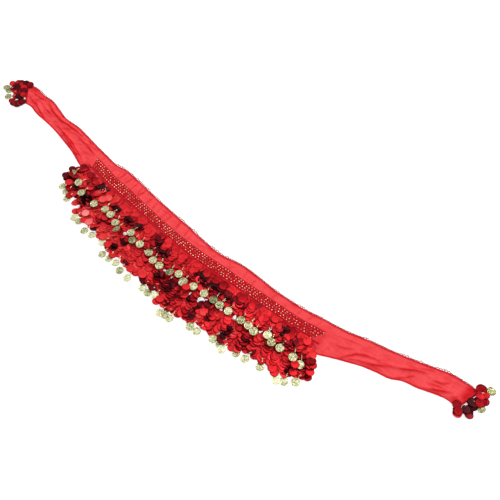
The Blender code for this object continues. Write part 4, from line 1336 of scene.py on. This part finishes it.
END_FIRST_SEQUIN = 13.0
END_LIFT, END_THREAD_LIFT = 2.0, 1.2  # over the strings' undersides
END_THREAD_PLACES = 14
COIN_THREAD_PAST = 12.0  # the thread of a coin's string ends this far above the coin's middle
# Tassel sequins' tone is painted reflection, darker on the right tassel; their patches and loose sequins paint
# it darker or lighter.
END_TURNED, END_TONES = 4.0, {"left": -0.18, "right": -0.3}
END_PILE = 3.2  # how high the strings of a tassel lie on each other, under its loose sequins
END_RISE = tuple(map(Rise._make, ((0, 0.5, 2.2), (10, 0.5, 3.6))))
END_TIER = Tier("end", (), (), "top", 0.1, END_RISE, 0, (0, 0), 7.0)
EndString = namedtuple("EndString", "root along across coin")
LEFT_STRINGS = tuple(map(EndString._make, (
    (0.06, -768, 14, False), (0.20, -776, -1, False), (0.34, -772, -20, True), (0.50, -757, -24, True),
    (0.64, -742, -41, True), (0.78, -717, -56, False), (0.92, -702, -57, False),
)))
RIGHT_STRINGS = tuple(map(EndString._make, (
    (0.04, 710, 12, False), (0.15, 728, 11, True), (0.34, 735, -12, False), (0.48, 727, -36, True),
    (0.62, 722, -46, False), (0.78, 720, -62, False), (0.92, 694, -79, False),
)))
# Sequins of the tassels that lie on top of the rest, and over the chiffon's corners.
LOOSE_AT_ENDS = {
    "left": (
        (-769, 1, 200, -0.02, 2, 2.2), (-751, 18, 170, -0.62, 4, 2.6), (-739, 25, 160, -0.66, 4, 3.0),
        (-726, 28, 150, -0.42, 5, 3.4), (-748, 5, 190, -0.7, 4, 3.2), (-733, 10, 185, -0.1, 2, 4.0),
        (-723, 2, 200, -0.55, 5, 3.4), (-738, -15, 210, -0.14, 2, 3.4), (-726, -6, 200, -0.45, 4, 4.2),
        (-713, -10, 210, -0.2, 4, 3.2), (-715, -20, 215, -0.7, 6, 3.0), (-694, -29, 225, -0.5, 4, 3.0),
        (-705, -47, 250, -0.35, 2, 2.6), (-720, -45, 235, -0.28, 2, 3.0),
    ),
    "right": (
        (711, 3, 80, -0.32, 8, 3.4), (721, -4, -40, -0.28, 2, 3.4), (714, -12, -60, -0.26, 2, 4.4),
        (720, -27, -70, -0.26, -12, 5.4), (707, -35, -60, -0.85, 3, 3.4), (683, -59, -90, -0.3, -14, 4.4),
        (692, -70, -100, -0.3, -13, 4.8), (703, -56, -60, -0.85, 2, 4.2), (713, -63, -70, -0.5, 2, 3.4),
    ),
}
PATCHES_AT_ENDS = tuple(map(Patch._make, (
    (-748, 23, 16, 8, -0.62, 12), (-724, 31, 9, 7, -0.78, 10), (-768, 0, 11, 11, -0.12, -4),
    (-742, -3, 14, 8, -0.82, 12), (-728, 2, 9, 7, -0.72, 8), (-712, -18, 10, 10, -0.85, 10),
    (-695, -28, 11, 9, -0.5, 4), (-745, 10, 12, 6, 0.0, 0), (-722, -8, 8, 10, 0.0, 0),
    (-715, -48, 9, 10, -0.3, 0), (-701, -48, 9, 10, -0.42, 0), (-718, -33, 8, 8, -0.4, 6),
    (709, 6, 8, 8, -0.28, -4), (721, 0, 12, 8, -0.2, -4), (712, -9, 5, 8, -0.7, 8), (730, -13, 8, 6, -0.05, 4),
    (722, -27, 11, 14, -0.28, -4), (706, -39, 9, 6, -0.78, 12), (726, -42, 9, 5, -0.55, 8),
    (684, -57, 10, 8, -0.4, 4), (704, -54, 11, 8, -0.85, 8), (717, -63, 8, 7, -0.55, 4),
    (692, -72, 10, 9, -0.22, 6), (697, -60, 5, 6, -0.8, 8),
)))


def end_strings(end_along, outwards, rows, seed):
    """The strings of one tassel, from the tape on the chiffon's slanted end edge, and that tape's line."""
    corner, foot = (np.array(on_strip(end_along, share)) for share in (0.0, 1.0))
    edge = foot - corner
    side = np.array((edge[1], -edge[0])) / np.linalg.norm(edge)
    side = side * np.sign(side[0] * outwards)
    bows = np.random.default_rng(seed)
    found = []
    for index, row in enumerate(rows):
        root = corner + edge * row.root + side * (GAP + TAPE_WIDE)
        tip = np.array((row.along, row.across), float)
        layer = "low_layer" if index % 2 else "high_layer"
        found.append(HangingString(END_TIER, layer, root, tip, row.coin, bows.uniform(-3, 3)))
    line = corner[None] + edge[None] * np.linspace(0.03, 0.97, 18)[:, None] + side * (GAP + TAPE_WIDE / 2)
    return found, line


end_thread_paths = []
tassels = {
    "left": end_strings(FIRST, -1, LEFT_STRINGS, 111),
    "right": end_strings(LAST, 1, RIGHT_STRINGS, 112),
}
for seed, (name, (strings, tape_line)) in enumerate(tassels.items()):
    luck = np.random.default_rng(120 + seed)
    rows = []
    for string in strings:
        reach = reach_to_tip(string)
        last_one = reach - (LAST_ABOVE_COIN if string.coin else SEQUIN_RADIUS)
        count = max(1, round((last_one - END_FIRST_SEQUIN) / SEQUIN_PITCH))
        own_roll, own_tone = luck.normal(0, 5), luck.normal(END_TONES[name], 0.12)
        for i in range(count + 1):
            distance = END_FIRST_SEQUIN + (last_one - END_FIRST_SEQUIN) * i / count
            place, run = down(string, distance)
            place = place + luck.uniform(-1.0, 1.0, 2)
            tone, turned = patched(place, own_tone + luck.normal(0, 0.1), END_TURNED, PATCHES_AT_ENDS, 0, 0)
            roll = own_roll + luck.normal(0, 4)
            high = clear_of_table(risen(END_TIER, string.layer, distance) + END_LIFT, turned, roll)
            rows.append(((*place, high), (*run, 0.0), roll, turned, tone))
        end_thread_paths.append(thread_path(
            string, reach - (COIN_THREAD_PAST if string.coin else THREAD_PAST), END_THREAD_PLACES,
            lambda _, distance: risen(END_TIER, string.layer, distance) + END_THREAD_LIFT))
    rows += [loose_row(row, END_PILE) for row in map(LooseSequin._make, LOOSE_AT_ENDS[name])]
    piece = sequin_piece(f"{name}_tassel_sequins", rows, 31 + seed)
    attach(piece, "root")
    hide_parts(f"{name}_end_tassel")
    tape = tape_piece(f"{name}_tassel_tape", tape_line, END_TIER.tape_under, crimson_net)
    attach(tape, "root")
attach(threads_piece("tassel_threads", end_thread_paths, STRING_THREAD, red_thread), "root")
bpy.data.objects.remove(one_sequin)

# ---------------------------------------------------------------------------------------------------
# The coins
# Light stamped discs of pale gold-plated tin, 20 mm across, with a raised rim, a beaded border and a
# plain petal rosette. Each hangs by a jump ring from three gold beads at the end of its string.

COIN_THICK = 0.8
COIN_DRAWN = 10.4  # the radius that the relief below is drawn at
COIN_SECTORS = 48
COIN_LIFT, COIN_LOWEST, COIN_OVER_TIER = 0.9, 2.0, 3.2  # a coin's middle over what it lies on
LINK_BEAD = 2.9
COIN_EDGE = 40.0  # degrees: edges sharper than this aren't smoothed
# The stamped relief: radius, the height there, and what it adds at its beads or petals.
Relief = namedtuple("Relief", "radius height repeat swing")
COIN_FACE = tuple(map(Relief._make, (
    (1.3, 0.30, 0, 0), (1.9, 0.05, 0, 0), (3.6, 0.14, 8, 0.20), (5.2, 0.08, 8, 0.16), (5.9, 0.02, 0, 0),
    (6.4, 0.20, 0, 0), (6.9, 0.02, 0, 0), (7.9, 0.12, 24, 0.20), (8.8, 0.02, 0, 0), (9.3, 0.30, 0, 0),
    (10.1, 0.30, 0, 0),
)))
COIN_BACK = ((10.4, 0.16), (10.4, -0.2), (10.1, -0.42), (9.2, -0.42), (8.9, -0.24), (4.0, -0.24))
RING_HALF, RING_WIRE, RING_SECTORS, RING_SIDES = 1.7, 0.34, 12, 5


def round_the_clock(count):
    """This many directions right round, in radians."""
    return np.arange(count) / count * 2 * np.pi


def bridged(shape, near, far, turned=False):
    """Faces between two closed rings of corners, or from a ring to one middle corner."""
    for k in range(len(near)):
        j = (k + 1) % len(near)
        face = (near[k], near[j], far[0]) if len(far) == 1 else (near[k], far[k], far[j], near[j])
        shape.faces.new(face[:1] + face[:0:-1] if turned else face)


def coin_shape():
    """One coin lying on its back, with its jump ring through the top of its rim."""
    shape = bmesh.new()
    turns = round_the_clock(COIN_SECTORS)
    rings = []
    for radius, height, repeat, swing in COIN_FACE + tuple((*row, 0, 0) for row in COIN_BACK):
        relief = swing * (0.5 + 0.5 * np.cos(repeat * turns)) if repeat else 0 * turns
        if len(rings) < len(COIN_FACE):
            height = COIN_THICK / 2 - 0.2 + height
        reach = radius * COIN_RADIUS / COIN_DRAWN * MM
        rings.append([shape.verts.new((reach * np.cos(turn), reach * np.sin(turn), z * MM))
                      for turn, z in zip(turns, height + relief)])
    for inner, outer in zip(rings, rings[1:]):
        bridged(shape, inner, outer)
    for ring, height, turned in ((rings[0], COIN_THICK / 2 + 0.14, False), (rings[-1], -0.24, True)):
        bridged(shape, ring, [shape.verts.new((0, 0, height * MM))], turned)
    loops = []
    for turn in round_the_clock(RING_SECTORS):
        loops.append([])
        for small in round_the_clock(RING_SIDES):
            reach = RING_HALF + RING_WIRE * np.cos(small)
            loops[-1].append(shape.verts.new((
                RING_WIRE * np.sin(small) * MM, (COIN_RADIUS - 0.5 + reach * np.cos(turn)) * MM,
                (reach * np.sin(turn) * 0.5 + 0.3) * MM)))
    for near, far in zip(loops, loops[1:] + loops[:1]):
        bridged(shape, near, far, True)
    mesh = bpy.data.meshes.new("Coin_shape")
    shape.to_mesh(mesh)
    shape.free()
    outward(mesh)
    made = placed("Coin_shape", mesh)
    made.hide_render = True
    return made


def coin_tree():
    """A coin at each place, its ring end towards its string, turned and tipped a little as it fell."""
    tree, given, out = new_tree("Coins", Shape=None, Tip_spread=0.07, Turn_spread=0.3, Seed=1, Finish=None)
    swing = chance(tree, (-1, -1, -1), (1, 1, 1), given["Seed"], 1, "FLOAT_VECTOR")
    spreads = sized(tree, given["Tip spread"], given["Tip spread"], given["Turn spread"])
    small = put(tree, "ShaderNodeVectorMath", {0: swing, 1: spreads}, operation="MULTIPLY").outputs[0]
    turn = hung(tree, said_by(tree, "face"), small)
    shapes = stood(tree, given["Geometry"], body_of(tree, given), turn)
    return end_tree(tree, shapes, given["Finish"], out, smooth=False)


def coin_finish():
    """Thin pale gold plate over tin, rubbed bright and greenish-dull in fine grains and patches; each coin's
    `shine` also carries painted shade and light.
    """
    finish, tree = new_finish("Pale_gold_plate", Metallic=0.82, Specular_Tint=(1.0, 0.97, 0.80, 1))
    where = put(tree, "ShaderNodeTexCoord").outputs["Object"]
    grain = noise(tree, where, 430.0, 4.0, Roughness=0.65)
    patch = noise(tree, where, 270.0)
    rubbed = maths(tree, "ADD", spread(tree, grain, -1.25, 1.25), spread(tree, patch, -0.76, 0.84))
    colour = ramp(
        tree, maths(tree, "ADD", stored(tree, "shine"), rubbed, clamp=True),
        (0.0, 0.11, 0.11, 0.045), (0.35, 0.34, 0.34, 0.16), (0.6, 0.64, 0.64, 0.37), (1.0, 0.94, 0.94, 0.66),
    )
    return dressed(finish, Base_Color=colour, Roughness=spread(tree, grain, 0.34, 0.58),
                   Normal=bump(tree, grain, 0.45, 0.0005))


pale_gold = coin_finish()
one_coin = coin_shape()
coins = coin_tree()
# Coins that lie in shade or turned from the light and how brightly they shine, painted into their colour, those
# that stand tipped on what is under them and which way, and those that lie on their neighbours and how much
# higher.
LIT_AND_SHADED_COINS = {
    (213, -265): 0.8, (304, -245): 0.45, (385, -226): 0.45, (122, -265): 0.5, (-402, -121): 0.3,
    (-136, -177): 0.1, (204, -183): 0.3, (122, -181): 0.1, (-81, -178): 0.35, (290, -184): 0.25,
    (-59, -188): 0.55, (-103, -257): 0.42, (-6, -188): 0.3, (57, -278): 0.4, (-772, -20): 0.3,
    (-757, -24): 0.36, (-742, -41): 0.3, (728, 11): 0.12, (727, -36): 0.2,
}
TIPPED_COINS = {(-190, -177): (-0.55, -0.1), (-6, -188): (-0.35, 0.05), (-366, -134): (0.1, -0.22)}
COINS_ON_TOP = {
    (243, -252): 1.8, (304, -245): 1.5, (45, -281): 1.3, (72, -278): 1.5, (213, -265): 1.3,
    (142, -183): 1.2, (273, -175): 1.3, (-154, -163): 1.2,
}
# The thread over a coin: how far it is from the coin's middle, and its share of the way up to the string.
LINK_BENDS = ((COIN_RADIUS + 0.6, 0.0), (13.4, 0.3), (16.4, 0.62), (19.4, 0.86), (23.0, 1.0), (27.0, 0.8))
link_places, link_paths = [], []


def coin_piece(name, strings, lift_of, link_height, plate, seed):
    """The coins of these strings as a piece. It leaves each coin's three beads and its thread for later."""
    luck = np.random.default_rng(seed)
    places, hangs, faces, shine = [], [], [], []
    for string in strings:
        if not string.coin:
            continue
        reach = reach_to_tip(string)
        place, run = down(string, reach)
        key = (round(float(string.tip[0])), round(float(string.tip[1])))
        side, along = TIPPED_COINS.get(key, (0.0, 0.0))
        high = lift_of(string) + COINS_ON_TOP.get(key, 0.0) + COIN_RADIUS * 0.8 * (side**2 + along**2) ** 0.5
        face = np.array((side, along + 0.03, 1.0))
        faces.append(face / np.linalg.norm(face))
        places.append((*place, high))
        hangs.append((*run, 0.0))
        shine.append(np.clip(LIT_AND_SHADED_COINS.get(key, luck.normal(plate, 0.1)), 0, 1))
        top = max(high + 1.2, link_height)
        path, lean = [], luck.uniform(-0.45, 0.45)
        for over, share in LINK_BENDS:
            bit = down(string, reach - over)[0] + np.array((run[1], -run[0])) * lean * (over - COIN_RADIUS)
            path.append((*bit, high + 0.3 + (top - high - 0.3) * share))
        link_paths.append(path)
        link_places.extend(np.array(path[1:4]))
    piece = grown(
        name, guide_mesh(settled(places), hang=hangs, face=faces, shine=shine),
        coins, Shape=one_coin, Tip_spread=0.05, Turn_spread=0.35, Seed=seed, Finish=pale_gold,
    )
    rounded(piece, COIN_EDGE)
    return piece


def on_cloth(string):
    """How high a coin lies that rests on the chiffon or the table."""
    return max(lie_of(string.tier, string.layer, string.tip) + COIN_LIFT, COIN_LOWEST)


def on_tier(string):
    """How high a coin lies that rests on the lower tier."""
    return lie_of(string.tier, string.layer, string.tip) + COIN_OVER_TIER


def on_tassel(string):
    """How high a coin lies at the end of a tassel's string."""
    return max(risen(END_TIER, string.layer, 50) + COIN_LIFT, COIN_LOWEST)


coin_pieces = [
    coin_piece("upper_coins", tier_strings["upper"], on_tier, UPPER_TIER.link_height, 0.5, 141),
    coin_piece("lower_coins", tier_strings["lower"], on_cloth, LOWER_TIER.link_height, 0.6, 142),
    coin_piece(
        "tassel_coins", tassels["left"][0] + tassels["right"][0], on_tassel, END_TIER.link_height, 0.5, 143),
]
for piece in coin_pieces:
    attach(piece, "root")
bpy.data.objects.remove(one_coin)
luck = np.random.default_rng(144)
yellow_gold = bead_finish("Yellow_gold_beads", (0.40, 0.27, 0.09, 1), (1.0, 0.92, 0.55, 1), 0.2, 0.5)
link_beads = grown(
    "link_beads", guide_mesh(settled(link_places), shine=shines(luck, 0.62, 0.25, len(link_places))),
    beads, Bead=LINK_BEAD * MM, Squash=1.0, Size_spread=0.16, Stray=0.45 * MM, Seed=10, Finish=yellow_gold,
)
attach(link_beads, "root")
maroon_thread = thread_finish("Maroon_overlock_thread", (0.30, 0.006, 0.014, 1))
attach(threads_piece("link_threads", link_paths, STRING_THREAD, maroon_thread), "root")

# ---------------------------------------------------------------------------------------------------
# The studio
# A plain near-white table top under a white tent, one broad lamp behind on the right, and the camera
# above the scarf, looking down at it from its lower right.

FLOOR_HALF = 6.0
floor_mesh = bpy.data.meshes.new("Floor")
floor_corners = [(x * FLOOR_HALF, y * FLOOR_HALF, 0) for x, y in ((-1, -1), (1, -1), (1, 1), (-1, 1))]
floor_mesh.from_pydata(floor_corners, [], [(0, 1, 2, 3)])
floor = placed("Floor", floor_mesh)
paper, tree = new_finish("Pale_lit_table", Roughness=0.9, Specular_IOR_Level=0.1, Emission_Strength=0.75,
                         Emission_Color=(1, 1, 1, 1))
tooth = noise(tree, put(tree, "ShaderNodeTexCoord").outputs["Object"], 40.0)
floor_mesh.materials.append(dressed(
    paper, Base_Color=mixed(tree, tooth, (0.44, 0.44, 0.44, 1), (0.47, 0.47, 0.47, 1))))

world = bpy.data.worlds.new("White_tent")
bpy.context.scene.world = world
world.use_nodes = True
tree = world.node_tree
up = put(tree, "ShaderNodeSeparateXYZ", {0: put(tree, "ShaderNodeTexCoord").outputs["Generated"]}).outputs["Z"]
greys = ((0.0, 0.30), (0.25, 0.50), (0.5, 0.84), (1.0, 0.92))
tent = ramp(tree, up, *((place, grey, grey, grey) for place, grey in greys))
tree.links.new(tent, tree.nodes["Background"].inputs["Color"])
tree.nodes["Background"].inputs["Strength"].default_value = 0.9

lamp_data = bpy.data.lights.new("Back_right_lamp", "SUN")
lamp_data.angle, lamp_data.energy = 0.3, 2.6
lamp = placed("Back_right_lamp", lamp_data)
camera_data = bpy.data.cameras.new("Camera")
camera_data.sensor_width, camera_data.lens = 36.0, 43.2
camera_data.clip_start, camera_data.clip_end = 0.01, 50.0
camera = placed("Camera", camera_data)
camera.location = (0.57099, -0.47178, 1.256)
look = Vector((0.1309, 0.1046, 0.0)) - camera.location
for thing, direction in ((lamp, Vector((-0.7, -1.5, -1.2))), (camera, look)):
    thing.rotation_mode = "QUATERNION"
    thing.rotation_quaternion = direction.to_track_quat("-Z", "Y")
bpy.context.scene.camera = camera
bpy.context.scene.view_settings.view_transform = "Standard"
